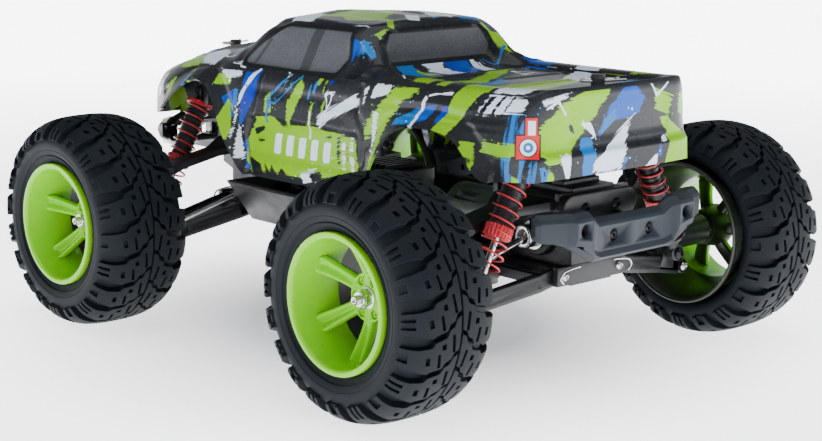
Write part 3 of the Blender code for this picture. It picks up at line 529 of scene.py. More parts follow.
def rim_mesh():
    pieces = [turned_ring(RIM_PROFILE, 128, smooth=40.0), hub_mesh()]
    for i in range(SPOKES):
        turn = Matrix.Rotation(-math.tau * i / SPOKES, 4, "X")
        pieces.append(moved(spoke_mesh(), turn=turn))
        angle = math.tau * (i + 0.5) / SPOKES
        centre = (0, 7.7 * math.sin(angle), 7.7 * math.cos(angle))
        boss = turned_ring([(HUB_FACE - 2, 1.35), (HUB_FACE - 0.9, 1.35), (HUB_FACE - 0.75, 1.1),
                            (HUB_FACE - 0.9, 0.65), (HUB_FACE - 2, 0.65)], 20)
        pieces.append(moved(boss, centre))
    return rim_finish(merged(pieces))


def hex_bar(start, end, radius, chamfer=0.5):
    rings = []
    for x, shrink in ((start, chamfer), (start + chamfer, 0), (end - chamfer, 0), (end, chamfer)):
        ring = []
        for i in range(36):
            angle = math.tau * i / 36
            flat = radius * math.cos(math.pi / 6) / math.cos((angle % (math.pi / 3)) - math.pi / 6)
            reach = min(flat, radius - shrink * 1.2)
            ring.append((x, reach * math.sin(angle), reach * math.cos(angle)))
        rings.append(ring)
    return rings_mesh(rings, smooth=25.0)


def thread_mesh(start, end, radius, pitch=0.7, depth=0.18):
    """A shallow spiral ridge on a shaft."""
    per_turn, turns = 20, (end - start) / pitch
    rings = []
    steps = int(per_turn * turns)
    for i in range(steps + 1):
        angle = math.tau * i / per_turn
        x = start + pitch * i / per_turn
        ring = []
        for along, out in ((-0.34 * pitch, -0.08), (0, depth), (0.34 * pitch, -0.08)):
            reach = radius + out
            ring.append((x + along, reach * math.sin(angle), reach * math.cos(angle)))
        rings.append(ring)
    return rings_mesh(rings, smooth=30.0)


def axle_end_meshes():
    washer = turned_bar([(HUB_FACE - 0.1, 4.9), (HUB_FACE + 0.6, 4.9), (HUB_FACE + 0.75, 4.6)], 40)
    nut = hex_bar(HUB_FACE + 0.7, 8.0, 4.25)
    collar = turned_bar([(7.6, 3.5), (8.9, 3.45), (9.3, 3.1), (9.35, 2.0)], 36)
    tip = boolean(turned_bar([(4.0, 1.85), (11.4, 1.85), (AXLE_TIP, 1.5)], 28),
                  turned_bar([(10.9, 0.5), (12.5, 1.15)], 16))
    return [washer, nut, collar, tip, thread_mesh(9.4, 11.2, 1.85)]


AXLE_TIP = 11.9


def front_axle_mesh():
    shaft = turned_bar([(-27.0, 1.9), (-26.5, 2.2), (-9.4, 2.2), (-9.2, 2.2), (-4.3, 2.2), (4.4, 2.2)], 24)
    return merged([shaft, hex_bar(-9.4, -4.3, 6.3), *axle_end_meshes()])


def rear_axle_mesh():
    cup = turned_bar([(-47.5, 4.2), (-47.2, 4.6), (-38.9, 4.6), (-38.3, 2.4), (-38.0, 2.2)], 32)
    cup = boolean(cup, turned_bar([(-49, 3.45), (-40.15, 3.45)], 24))
    slot = box_mesh((-49, -1.1, -6), (-42.5, 1.1, 6))
    cup = bevelled(boolean(cup, slot), 0.15, 1)
    shaft = turned_bar([(-38.5, 2.2), (4.4, 2.2)], 24)
    return merged([cup, shaft, hex_bar(-9.4, -4.3, 6.3), *axle_end_meshes()])


def add_wheels():
    tyre, rim = tyre_mesh(), rim_mesh()
    backs = [polygon.material_index for polygon in rim.polygons]
    ends = {"f": front_axle_mesh(), "r": rear_axle_mesh()}
    for index, (tag, (side, axle_y)) in enumerate(CORNERS.items()):
        spin = Matrix.Rotation(math.radians((17, 40, 3, 29)[index]), 4, "X")
        centre = (side * WHEEL_X, axle_y, AXLE_Z)
        body = f"wheel_{tag}"
        for name, source, material, slot in (("tyre", tyre, RUBBER, "tyre_rubber"),
                                             ("rim", rim, LIME_RIM, "rim_green"),
                                             ("axle", ends[tag[0]], STEEL, "steel")):
            mesh = mirrored(moved(source.copy(), turn=spin), side)
            piece = add_piece(f"{name}_{tag}_look", mesh, material, body, (f"{name}_{tag}",), centre)
            if name == "rim":
                piece.data.materials.append(RIM_BACK)
                piece.data.polygons.foreach_set("material_index", backs)


# ---------------------------------------------------------------- body shell: shape

# Half sections from the sill up to the middle line: sill, widest line, flank, belt, glass foot,
# glass head, roof shoulder and crown as (x, z). Rows given with eleven points add the buttress,
# the rear window frame and the bed between them.
NOSE_LIP = [(44, -154, 86), (41, -157, 86), (37, -160, 86), (31, -163, 86), (24, -165, 86),
            (16, -166, 86), (8, -167, 86), (0, -167, 86)]
NOSE_TOP = [(49, -150, 84), (50, -151, 96), (47, -155, 106), (38, -161, 113), (30, -163.5, 115.5),
            (20, -165, 117), (10, -166, 118), (0, -166, 118)]
SECTIONS = {
    -140: [(56, 82), (58, 96), (57, 109), (49, 118), (41, 121), (29, 124), (14, 126.5), (0, 127)],
    -120: [(59, 80), (61, 98), (60, 112), (53, 121), (45, 125), (31, 128), (15, 130.5), (0, 131)],
    -98: [(60, 78), (62, 98), (61, 113), (55, 123), (47, 127), (33, 131), (16, 133.5), (0, 134)],
    -82: [(60, 76), (62, 97), (61, 113), (56, 124.5), (49, 128), (37, 132.5), (18, 136), (0, 137)],
    -66: [(60, 75), (63, 96), (61, 112), (57, 125), (52, 128.5), (45, 136), (27, 142.5), (0, 145)],
    -46: [(60, 75), (63, 96), (61, 112), (57, 125.5), (53, 129), (44, 147), (34, 151.5), (0, 154)],
    -20: [(60, 75), (63, 96), (61, 112), (57, 126), (53, 129.5), (43.5, 149), (36, 153), (0, 155.5)],
    8: [(60, 76), (63, 97), (61, 112), (57, 127), (53, 130), (44, 149), (37, 152.5), (0, 155)],
    16: [(60, 76.5), (63, 97.5), (61, 112.5), (57, 127.5), (52.6, 130.4), (44.3, 147.4), (40.5, 150.0),
         (36.5, 151.8), (32, 152.8), (16, 154.2), (0, 154.6)],
    20: [(60, 77), (63, 98), (61, 113), (57, 128), (52.4, 130.8), (44.8, 145.6), (40.2, 147.6),
         (35.8, 148.8), (32, 151.2), (16, 153.2), (0, 153.6)],
    23: [(60, 77), (63, 98), (61, 113), (57, 128), (52, 131), (45.5, 142.5), (40.6, 145.6),
         (36, 146.6), (31.5, 147.6), (16, 149.0), (0, 149.3)],
    26: [(60, 77.6), (62.6, 98.5), (61, 113), (57, 128.5), (51.6, 131.4), (46, 139.8), (41, 143),
         (36.4, 143.6), (32, 136.2), (16, 135.8), (0, 135.8)],
    29: [(60, 78), (62.4, 99), (61, 113), (57, 129), (51.2, 131.8), (46.4, 137), (41.5, 140.3),
         (36.8, 140.6), (32.6, 133.4), (16, 133.2), (0, 133.2)],
    34: [(60, 78.8), (62.2, 99.5), (61, 113.5), (57, 129), (51, 132), (47, 134.6), (43, 136),
         (38, 135.4), (33.4, 131), (16, 130.8), (0, 130.8)],
    45: [(60, 80), (62, 100), (61, 114), (57, 129), (51, 132.5), (47, 133.2), (44, 133.2),
         (40, 132.4), (37.6, 130.6), (16, 130.5), (0, 130.5)],
    85: [(60, 82), (62, 102), (61, 116), (56, 129), (51, 132.6), (47, 133.4), (44, 133.4),
         (40, 132.6), (37.6, 130.8), (16, 130.8), (0, 130.8)],
    112: [(59.8, 86), (61.4, 102), (60, 115), (54.6, 128.5), (50, 132.8), (46.5, 133.8), (43.5, 133.8),
          (39.6, 132.8), (37, 131.3), (16, 131.3), (0, 131.3)],
    126: [(58, 88), (58.8, 102), (56.4, 115.5), (52.2, 127.5), (48.6, 132.6), (45.2, 134.2),
          (42.5, 134.4), (38.6, 133.6), (36, 132.2), (16, 132.2), (0, 132.2)],
}
TAIL_EDGE = [(56.6, 128, 88), (56.8, 128.6, 102), (54.6, 129.6, 115), (51, 131.6, 126), (47.6, 133.6, 131.6),
             (44, 135.2, 134.6), (41, 136, 135), (37, 136.8, 135), (31, 137.4, 135), (16, 138.2, 135),
             (0, 138.4, 135)]
TAIL_UPPER = [(55.2, 130, 88), (55.2, 130.5, 101), (53, 131.4, 113.5), (50, 133.2, 122.5),
              (47, 135.2, 128.6), (43.5, 136.8, 131.2), (40.5, 137.6, 131.6), (36.5, 138.2, 131.6),
              (31, 138.8, 131.6), (16, 139.4, 131.6), (0, 139.6, 131.6)]
TAIL_CREASE = [(53.6, 131.8, 88), (53.2, 132.2, 99), (51.4, 133.4, 106.4), (48.8, 135.4, 109.4),
               (46.2, 137.2, 109.6), (43.2, 138.2, 109.2), (40.2, 138.8, 109), (36, 139.2, 109),
               (31, 139.4, 109), (16, 139.8, 109), (0, 140, 109)]
TAIL_LEDGE = [(52.8, 133.6, 88), (52.4, 134, 97.6), (50.8, 135.8, 103.8), (48.6, 137.8, 106),
              (46.2, 139.4, 106.4), (43, 140.4, 106.4), (40, 141, 106.4), (36, 141.4, 106.4),
              (31, 141.6, 106.4), (16, 141.9, 106.4), (0, 142, 106.4)]
TAIL_LIP = [(51.4, 134.6, 88), (51.2, 134.9, 92), (50.4, 136.5, 95), (48.6, 138.3, 96.8),
            (46.2, 139.1, 97), (43, 139.6, 97), (40, 139.8, 97), (36, 140, 97), (31, 140.2, 97),
            (16, 140.4, 97), (0, 140.5, 97)]
LOWER_EDGE = [(-175, 91), (-152, 95), (-126, 100.5), (-112, 108), (-99, 114.5), (-86, 118.5), (-76, 115.5),
              (-68, 107), (-61, 96), (-54, 85), (-47, 77.5), (-40, 76.5), (0, 77), (33, 79.5), (41, 84),
              (47, 92), (53, 101), (60, 109), (70, 113.5), (86, 114.5), (98, 112.5), (107, 106.5),
              (113, 99.5), (119, 96.2), (128, 96.4), (150, 96.4)]
GRID_PITCH = 1.25
SHELL_WALL = 1.2


def eased(knots, steps):
    """Resample rows of knots with cubics that pass through every knot and never overshoot."""
    knots = np.asarray(knots, float)
    gaps = np.diff(knots, axis=0)
    spans = np.linalg.norm(gaps, axis=-1)
    spans = np.maximum(spans.reshape(len(spans), -1).mean(axis=1), 0.4)
    wide = spans.reshape((-1,) + (1,) * (knots.ndim - 1))
    slopes = gaps / wide
    before, after = slopes[:-1], slopes[1:]
    weight_a = 2 * wide[1:] + wide[:-1]
    weight_b = wide[1:] + 2 * wide[:-1]
    same = before * after > 0
    safe_before = np.where(same, before, 1.0)
    safe_after = np.where(same, after, 1.0)
    middle = np.where(same, (weight_a + weight_b) / (weight_a / safe_before + weight_b / safe_after), 0.0)
    tangents = np.concatenate([slopes[:1], middle, slopes[-1:]])
    result = []
    for i, count in enumerate(steps):
        for k in range(count):
            t = k / count
            h00, h10 = 2 * t ** 3 - 3 * t * t + 1, t ** 3 - 2 * t * t + t
            h01, h11 = 3 * t * t - 2 * t ** 3, t ** 3 - t * t
            result.append(h00 * knots[i] + h10 * wide[i] * tangents[i] + h01 * knots[i + 1]
                          + h11 * wide[i] * tangents[i + 1])
    result.append(knots[-1])
    return np.array(result)


def eleven(row):
    """Fill a row of eight section points out to eleven."""
    if len(row) == 11:
        return [np.array(p, float) for p in row]
    p = [np.array(q, float) for q in row]
    return p[:6] + [(p[5] + p[6]) / 2, p[6], p[6] * 0.85 + p[7] * 0.15, p[6] * 0.45 + p[7] * 0.55, p[7]]


def shell_grid():
    """Half shell as a grid of points: rows from nose to tail lip, columns from lower edge to crown."""
    rows = [eleven(NOSE_LIP), eleven(NOSE_TOP)]
    for y, section in SECTIONS.items():
        rows.append([np.array((x, y, z)) for x, z in eleven(section)])
    rows += [eleven(row) for row in (TAIL_EDGE, TAIL_UPPER, TAIL_CREASE, TAIL_LEDGE, TAIL_LIP)]
    rows = np.array(rows)
    lengths = np.linalg.norm(np.diff(rows, axis=0), axis=-1).mean(axis=1)
    rows = eased(rows, [max(2, round(length / GRID_PITCH)) for length in lengths])
    columns = rows.transpose(1, 0, 2)
    widths = np.linalg.norm(np.diff(columns, axis=0), axis=-1).mean(axis=1)
    steps = [max(2, round(width / GRID_PITCH)) for width in widths]
    grid = eased(columns, steps).transpose(1, 0, 2)
    belt = sum(steps[:4])
    edge = eased([(y, z) for y, z in LOWER_EDGE], [6] * (len(LOWER_EDGE) - 1))
    for row in grid:
        level = np.interp(row[:, 1], edge[:, 0], edge[:, 1])
        above = row[:, 2] - level
        first = int(np.argmax(above > 0))
        start = 0.0
        if first > 0:
            start = first - above[first] / (above[first] - above[first - 1])
        places = start + (belt - start) * np.arange(belt) / belt
        low = places.astype(int)
        share = (places - low)[:, None]
        row[:belt] = row[low] * (1 - share) + row[low + 1] * share
    return grid, edge


def polygon_field(points, outline):
    """Signed distance from 2-D points to a closed outline, negative inside."""
    nearest = np.full(len(points), 1e9)
    inside = np.zeros(len(points), bool)
    for start, end in zip(outline, list(outline[1:]) + [outline[0]]):
        a, along = np.array(start, float), np.subtract(end, start).astype(float)
        offset = points - a
        share = np.clip(offset @ along / max(along @ along, 1e-9), 0, 1)
        nearest = np.minimum(nearest, np.linalg.norm(offset - share[:, None] * along, axis=1))
        crosses = (start[1] > points[:, 1]) != (end[1] > points[:, 1])
        rise = along[1] if along[1] else 1e-9
        inside ^= crosses & (points[:, 0] < a[0] + along[0] * (points[:, 1] - a[1]) / rise)
    return np.where(inside, -nearest, nearest)


def path_field(points, path):
    """Distance across, signed side, and overrun past either end of a run of 2-D points."""
    nearest = np.full(len(points), 1e9)
    across = np.zeros(len(points))
    overrun = np.zeros(len(points))
    last = len(path) - 2
    for i, (start, end) in enumerate(zip(path, path[1:])):
        a, along = np.array(start, float), np.subtract(end, start).astype(float)
        length = np.linalg.norm(along)
        along /= length
        offset = points - a
        run = offset @ along
        side = offset @ np.array((-along[1], along[0]))
        low = -1e3 if i == 0 else 0.0
        high = 1e3 if i == last else length
        gap = np.hypot(side, run - np.clip(run, low, high))
        beyond = np.maximum(-run if i == 0 else -1e3, run - length if i == last else -1e3)
        closer = gap < nearest
        nearest = np.where(closer, gap, nearest)
        across = np.where(closer, np.sign(side) * gap, across)
        overrun = np.where(closer, beyond, overrun)
    return nearest, across, overrun


def bump_profile(distance, width):
    """One at zero distance, falling smoothly to nothing at the given width."""
    share = np.clip(1 - np.abs(distance) / width, 0, 1)
    return share * share * (3 - 2 * share)


SIDE_GLASS = [(-57.5, 131.2), (-50, 137.8), (-35, 147.6), (10.8, 148.2), (14.4, 138.5), (9.6, 132.2),
              (-20, 131.2)]
REAR_GLASS = [(-30.4, 137.0), (-32.4, 140.0), (-28.4, 147.4), (28.4, 147.4), (32.4, 140.0), (30.4, 137.0)]
WINDSHIELD = [(-38.0, -76.5), (-30.5, -52.0), (30.5, -52.0), (38.0, -76.5)]
DOOR_FRONT = [(-38, 128), (-40, 111), (-44, 95), (-43, 80)]
DOOR_REAR = [(36, 129), (35, 116), (40, 110), (41, 92)]
TOP_HOLES = [((0, -135), 3.6), ((0, 126), 3.6)]


def glass_field(points):
    """Signed distance to the nearest window outline, for points anywhere on the shell."""
    x, y, z = points.T
    side = polygon_field(points[:, 1:], SIDE_GLASS) - 1.2
    side = np.where((np.abs(x) > 38) & (z > 128), side, 9.0)
    rear = polygon_field(points[:, ::2], REAR_GLASS) - 1.2
    rear = np.where((y > 21.5) & (y < 28.5) & (np.abs(x) < 36), rear, 9.0)
    front = polygon_field(points[:, :2], WINDSHIELD) - 1.5
    return np.clip(np.minimum(np.minimum(side, rear), front), -9, 9)


def shaped(grid, edge):
    """Press windows, door lines, flares, the door panel and the intake into the plain skin."""
    rows = len(grid)
    along = np.gradient(grid, axis=0)
    up = np.gradient(grid, axis=1)
    normals = np.cross(up, along)
    normals /= np.maximum(np.linalg.norm(normals, axis=-1, keepdims=True), 1e-6)
    normals *= np.sign(normals[rows // 2, 5, 0])
    points, normals = grid.reshape(-1, 3), normals.reshape(-1, 3)
    x, y, z = points.T
    side_view = points[:, 1:]
    push = np.zeros(len(points))
    glass = glass_field(points)
    push -= 0.75 * np.clip(0.5 - glass / 1.6, 0, 1)
    push += 0.35 * bump_profile(glass - 1.8, 1.8)
    arch = path_field(side_view, [tuple(p) for p in edge[::3]])[0]
    near_arch = ((y > -126) & (y < -45)) | ((y > 38) & (y < 121))
    flank = np.clip((np.abs(x) - 50) / 4, 0, 1) * np.clip((131 - z) / 4, 0, 1)
    push += np.where(near_arch, 2.2 * bump_profile(arch, 6.5) + 0.7 * bump_profile(arch, 1.6), 0) * flank
    push += np.where(near_arch, -0.7 * bump_profile(arch - 8.5, 3.0), 0) * flank
    doors = np.clip((y + 46) / 6, 0, 1) * np.clip((38 - y) / 5, 0, 1) * flank
    push -= 1.5 * doors * np.clip((z - 86) / 2, 0, 1) * np.clip((107 - z) / 2.5, 0, 1)
    push += 0.9 * doors * bump_profile(z - 83, 5)
    push -= 0.7 * doors * bump_profile(z - 119, 4)
    for line in (DOOR_FRONT, DOOR_REAR):
        distance, _, overrun = path_field(side_view, line)
        push -= np.where(overrun < 0, 0.7 * bump_profile(distance, 1.5), 0) * flank
    fender = np.clip((y - 50) / 10, 0, 1) * np.clip((128 - y) / 10, 0, 1)
    push -= 0.8 * fender * bump_profile(z - 122, 3.2) * flank
    push -= 0.5 * fender * bump_profile(z - 118, 1.6) * flank
    intake = polygon_field(side_view, [(19.5, 145), (23.5, 142.5), (28.5, 137), (26.8, 130.6), (21, 129.4)])
    outer = np.abs(x) > 42
    push -= np.where(outer, 3.4 * np.clip(0.5 - intake / 1.6, 0, 1), 0)
    scoop = polygon_field(side_view, [(30, 131.5), (33.5, 134), (43, 132.2), (40, 130)])
    push -= np.where(np.abs(x) > 45, 1.2 * np.clip(0.3 - scoop / 2.0, 0, 1), 0)
    push += np.where(np.abs(x) > 45, 0.7 * bump_profile(scoop - 1.3, 1.6), 0)
    bed = np.clip((y - 38) / 3, 0, 1) * np.clip((127 - y) / 3, 0, 1) * np.clip((37 - np.abs(x)) / 2, 0, 1)
    for rib_y in (52, 74, 96):
        push += 0.7 * bed * bump_profile(y - rib_y, 3.4)
    push -= 0.7 * bed * bump_profile(np.abs(x) - 33, 2.0)
    hood = np.clip((y + 158) / 8, 0, 1) * np.clip((-80 - y) / 5, 0, 1)
    push += 1.1 * hood * bump_profile(np.abs(x) - (17 - (y + 80) * 0.05), 3.2)
    push -= 0.8 * hood * bump_profile(np.abs(x) - (24 - (y + 80) * 0.05), 3.0)
    roof = np.clip((y + 40) / 6, 0, 1) * np.clip((14 - y) / 4, 0, 1)
    push -= 0.7 * roof * np.clip((21 - np.abs(x)) / 2.4, 0, 1)
    tail = (y > 133) & (z < 132) & (z > 110)
    push -= np.where(tail, 0.6 * np.clip((34 - np.abs(x)) / 3, 0, 1) * np.clip((z - 111) / 2, 0, 1)
                     * np.clip((129 - z) / 2, 0, 1), 0)
    for (hole_x, hole_y), radius in TOP_HOLES:
        distance = np.hypot(x - hole_x, y - hole_y)
        push -= np.where(z > 120, 0.6 * bump_profile(distance - radius, 2.2), 0)
    return (points + normals * push[:, None]).reshape(grid.shape)


# ---------------------------------------------------------------- body shell: splash paint

# By panel and paint layer, each stroke is (points, width, tear). A width of 0 makes a filled patch whose
# bristles run along its first edge; otherwise the points are the middle line of a brush of that
# width. Tear is how far the bristles fray the ends. Side strokes are (y, z) and are laid on both
# flanks, tail and nose strokes are (x, z), and top and slope strokes are (x, y).
STROKES = {
    "side": {  # fenders, doors (five plain slanted bars for a raised badge), pillars and flanks
        "royal": [
            ([(-66, 113), (-55, 119), (-55, 113), (-63, 108)], 0, 1.0),
            ([(-52, 127), (-51, 112), (-50, 98), (-46, 104), (-41, 114), (-40, 128)], 0, 1.2),
            ([(-47, 92), (-43, 96), (-43, 78), (-46, 80)], 0, 3.0),
            ([(-147, 118), (-139, 119), (-139, 104), (-146, 100)], 0, 2.0),
            ([(11, 128.5), (17, 129), (13, 126)], 0, 0.6),
            ([(11, 148), (20, 146), (19, 137), (14, 139)], 0, 0.8),
            ([(71, 122), (86, 125), (82, 118), (72, 115)], 0, 1.2),
            ([(88, 124), (94, 126), (92, 118), (87, 117)], 0, 1.0),
            ([(-55, 134), (-49, 140), (-47, 138), (-53, 130.5)], 0, 0.8),
        ],
        "cyan": [
            ([(-58, 118), (-54, 118), (-53, 108), (-57, 109)], 0, 1.0),
            ([(-99, 121), (-95, 121), (-96, 114), (-99, 115)], 0, 1.0),
            ([(2, 127), (5, 127), (3, 120), (1.5, 121)], 0, 1.0),
            ([(20, 150), (26, 146), (29.5, 138), (22, 141), (19, 138)], 0, 0.8),
            ([(62, 117), (75, 122), (74, 115.5), (60, 113)], 0, 1.0),
            ([(127, 127), (127.5, 115), (128, 104), (128.6, 95)], 5.6, 5.0),
        ],
        "lime": [
            ([(-62, 113), (-66, 100), (-60, 91), (-56, 96), (-57, 110)], 0, 1.5),
            ([(-74, 124), (-61, 124), (-61, 119), (-74, 118)], 0, 1.5),
            ([(-94, 119), (-87, 119), (-88, 113), (-93, 114)], 0, 1.0),
            ([(-120, 112), (-113, 120), (-112, 112), (-118, 106)], 0, 2.0),
            ([(-33, 117), (-29, 119), (-26, 109), (-32, 108)], 0, 1.5),
            ([(-38, 107), (-23, 108), (-18, 104), (6, 107), (24, 105), (36, 103), (38, 88),
              (22, 84.5), (6, 80.5), (-24, 80), (-43, 79), (-46, 85), (-44, 95)], 0, 3.0),
            ([(-9, 127), (-4.5, 124), (-9, 112), (-14, 101), (-16, 116)], 0, 1.6),
            ([(9, 116), (11, 121), (12.5, 112), (10.5, 106)], 0, 2.5),
            ([(1, 114), (3.6, 118), (3.6, 106), (1.6, 104)], 0, 2.0),
            ([(3, 129), (7, 129), (6, 125), (4, 125)], 0, 1.0),
            ([(9, 128), (11, 128), (9.5, 121), (9, 122)], 0, 1.0),
            ([(56, 130), (72, 133), (72, 129), (62, 122), (56, 112), (52, 98), (49, 90), (45, 90),
              (49, 108), (42, 104), (40, 110), (48, 120)], 0, 3.4),
            ([(94, 134), (109, 134), (102, 122), (96, 112), (86, 112), (92, 122)], 0, 1.0),
            ([(104, 112), (111, 112), (113, 104), (106, 106)], 0, 2.0),
            ([(110, 103), (113, 106), (113, 97), (112, 96)], 0, 1.5),
            ([(115, 113.5), (131, 112.5), (130, 106), (114, 107.5)], 0, 2.2),
            ([(21, 151), (27, 147), (25, 144), (19.6, 148.6)], 0, 0.6),
            ([(-48, 142), (-43.5, 145.4), (-43, 141.5), (-47, 139.4)], 0, 0.6),
        ],
        "white": [
            ([(-54, 108), (-51, 109), (-56, 92), (-57, 96)], 0, 2.5),
            ([(-52, 98), (-48, 100), (-46, 84), (-54, 84)], 0, 3.0),
            ([(-78, 128), (-56, 131), (-54, 124), (-66, 122)], 0, 2.0),
            ([(-134, 112), (-128, 119), (-124, 112), (-130, 104)], 0, 2.5),
            ([(-5, 83), (2, 85), (8, 88), (7, 80), (-3, 78)], 0, 3.0),
            ([(7, 111), (18, 117.5), (34, 124.5), (36, 119.5), (21, 111), (9, 105.5)], 0, 3.2),
            ([(44, 130), (54, 133.5), (55, 126), (43, 122.5)], 0, 1.2),
            ([(38, 127), (41, 129), (40, 120), (38, 119)], 0, 1.6),
            ([(31, 104), (33.5, 104), (33.5, 86), (30.5, 86)], 0, 4.0),
            ([(26, 102), (28, 102), (27, 88), (25, 88)], 0, 4.0),
            ([(46, 119), (50.5, 118), (48, 98), (46, 100)], 0, 3.0),
            ([(-22.5, 100), (-17.5, 100), (-19.5, 90), (-24.5, 90)], 0, 0.0),
            ([(-13.5, 100), (-8.5, 100), (-10.5, 90), (-15.5, 90)], 0, 0.0),
            ([(-4.5, 100), (0.5, 100), (-1.5, 90), (-6.5, 90)], 0, 0.0),
            ([(4.5, 100), (9.5, 100), (7.5, 90), (2.5, 90)], 0, 0.0),
            ([(13.5, 100), (18.5, 100), (16.5, 90), (11.5, 90)], 0, 0.0),
            ([(77, 128), (79, 127), (75, 114), (73, 114)], 0, 0.6),
            ([(112, 131.5), (132, 131.8), (131, 125), (108, 122.5)], 0, 2.6),
        ],
        "ink": [
            ([(-43, 87), (-33, 84), (-34, 78), (-42, 77)], 0, 1.0),
            ([(-31, 86), (-28, 80), (-25, 85), (-22, 80), (-17, 84.5), (-12, 79), (-20, 78),
              (-32, 78)], 0, 1.6),
            ([(-40, 101), (-31, 103), (-31, 100), (-38, 97)], 0, 1.6),
            ([(-37, 96), (-30, 97), (-31, 95), (-36, 94)], 0, 1.2),
            ([(2, 84), (11, 86), (14, 82), (4, 79)], 0, 2.0),
            ([(22, 103), (25, 104), (24.5, 90), (22, 90)], 0, 3.0),
            ([(28.5, 103), (30, 103), (29.6, 92), (28.5, 92)], 0, 2.0),
            ([(14, 103.5), (20, 104), (18, 101.5), (14, 101.6)], 0, 1.2),
            ([(113, 131), (116, 131), (112, 122), (109, 122)], 0, 0.8),
            ([(119, 132), (121, 132), (117, 122), (115, 122)], 0, 0.8),
            ([(124, 132), (125.4, 132), (122, 123), (120.6, 123)], 0, 0.8),
        ],
    },
    "tail": {  # tailgate
        "cyan": [
            ([(54, 128), (51, 112), (53, 95)], 5.2, 4.0),
            ([(1, 127), (10, 121), (15, 114), (12, 113), (2, 119)], 0, 3.2),
            ([(18, 113.5), (25, 113.5), (26, 108), (25, 97), (18, 97), (17, 104)], 0, 1.2),
            ([(-4, 103), (-1, 103), (-1, 97), (-3, 97)], 0, 1.6),
        ],
        "lime": [
            ([(61, 113.5), (54, 113), (52, 107), (62, 107)], 0, 1.6),
            ([(6, 134), (21, 134), (38, 128), (47, 120), (49.5, 110), (45, 102.5), (38, 104.5),
              (33, 106), (27, 112), (14, 123)], 0, 2.6),
            ([(-22, 132), (-37, 127), (-34, 118), (-24, 121)], 0, 3.6),
            ([(-27, 118), (-34, 118), (-31, 112)], 0, 0.8),
            ([(-33, 117), (-46, 109), (-51, 96), (-30, 96)], 0, 0.8),
            ([(45, 102), (41, 99), (42, 96), (46, 96)], 0, 1.2),
            ([(58, 101), (54, 98), (54, 96), (57, 95)], 0, 1.2),
            ([(-41, 128), (-47, 127), (-44, 117), (-40, 119)], 0, 2.0),
        ],
        "royal": [
            ([(-10, 134), (-1, 133), (9, 123), (6, 119), (-3, 119), (-13, 121), (-17, 127)], 0, 1.6),
            ([(-25, 108), (-28, 101), (-24, 100)], 0, 0.6),
        ],
        "white": [
            ([(-11, 122), (-6, 119), (7, 110), (18, 104), (19, 97), (-1, 97), (-2, 105), (-6, 114)], 0, 3.0),
            ([(39.5, 106.5), (33, 109), (32, 96), (34, 96)], 0, 0.8),
            ([(-31, 111), (-26, 107), (-31, 107)], 0, 0.5),
            ([(-24, 103), (-16, 96.5), (-25, 96.5)], 0, 0.6),
            ([(46, 131), (31, 133.5), (33, 131), (45, 128)], 0, 2.5),
        ],
        "ink": [
            ([(30, 121), (33, 118), (28, 115)], 0, 0.3),
        ],
    },
    "top": {  # hood, roof and bed
        "lime": [
            ([(52, 62), (46, 60), (20, 66), (-8, 50), (-24, 36), (-30, 47), (-6, 62), (20, 78),
              (52, 74)], 0, 2.4),
            ([(58, 94), (42, 94), (18, 92), (-14, 92), (-16, 104), (14, 113), (34, 112), (58, 110)], 0, 2.4),
            ([(52, 84), (44, 84), (44, 78), (52, 78)], 0, 1.4),
            ([(-40, 110), (-52, 108), (-52, 124), (-42, 122)], 0, 2.0),
            ([(30, -34), (8, -38), (-22, -36), (-26, -24), (-10, -18), (2, -6), (14, 2), (12, 8),
              (26, 4), (32, -6), (26, -16)], 0, 3.4),
            ([(24, 14), (18, 12), (26, 22), (30, 22)], 0, 0.8),
            ([(56, -96), (40, -104), (34, -122), (50, -118)], 0, 2.2),
            ([(16, -96), (2, -90), (-6, -104), (8, -118)], 0, 2.6),
            ([(-34, -94), (-52, -92), (-52, -110), (-38, -114)], 0, 2.2),
        ],
        "white": [
            ([(-14, 92), (-34, 78), (-52, 72), (-52, 86), (-36, 92), (-14, 106)], 0, 1.8),
            ([(58, 112), (44, 112), (20, 124), (-6, 130), (-4, 135), (30, 134), (58, 128)], 0, 4.2),
            ([(43, 84), (38, 84), (38, 76), (43, 77)], 0, 1.4),
            ([(40, -38), (24, -48), (14, -48), (18, -38), (36, -22), (41, -24)], 0, 2.2),
            ([(-2, -2), (-8, 2), (8, 20), (14, 18)], 0, 0.8),
            ([(-24, -16), (-34, -14), (-30, 6), (-14, 19), (-12, 14)], 0, 2.0),
            ([(52, -84), (38, -88), (24, -110), (36, -112), (50, -98)], 0, 2.6),
            ([(-8, -112), (-28, -108), (-26, -124), (-10, -128)], 0, 3.0),
        ],
        "royal": [
            ([(-34, 40), (-52, 36), (-54, 62), (-36, 60)], 0, 1.6),
            ([(32, 78), (24, 76), (22, 84), (32, 86)], 0, 1.6),
            ([(-10, -88), (-28, -84), (-30, -100), (-14, -104)], 0, 2.0),
        ],
        "cyan": [
            ([(28, 80), (8, 74), (6, 80), (26, 88)], 0, 2.4),
            ([(56, 134), (44, 124), (30, 116)], 5.0, 4.0),
            ([(-20, 112), (-34, 108), (-36, 120), (-22, 124)], 0, 4.0),
            ([(-12, 6), (-6, 18), (0, 20)], 0, 0.6),
            ([(-26, 4), (-38, 4), (-34, 20), (-18, 20)], 0, 1.2),
            ([(36, -80), (22, -84), (24, -92), (38, -90)], 0, 1.6),
            ([(28, -126), (14, -122), (12, -140), (26, -142)], 0, 3.0),
        ],
    },
    "slope": {  # fall from the roof to the bed
        "cyan": [
            ([(31, 26), (20, 26), (19, 42), (29, 42)], 0, 0.8),
        ],
        "lime": [
            ([(20, 28), (15, 42), (22, 42)], 0, 0.6),
            ([(-36, 30), (-33, 16), (-42, 16), (-42, 34)], 0, 0.8),
        ],
        "white": [
            ([(14, 26), (1, 26), (0, 44), (12, 44)], 0, 4.0),
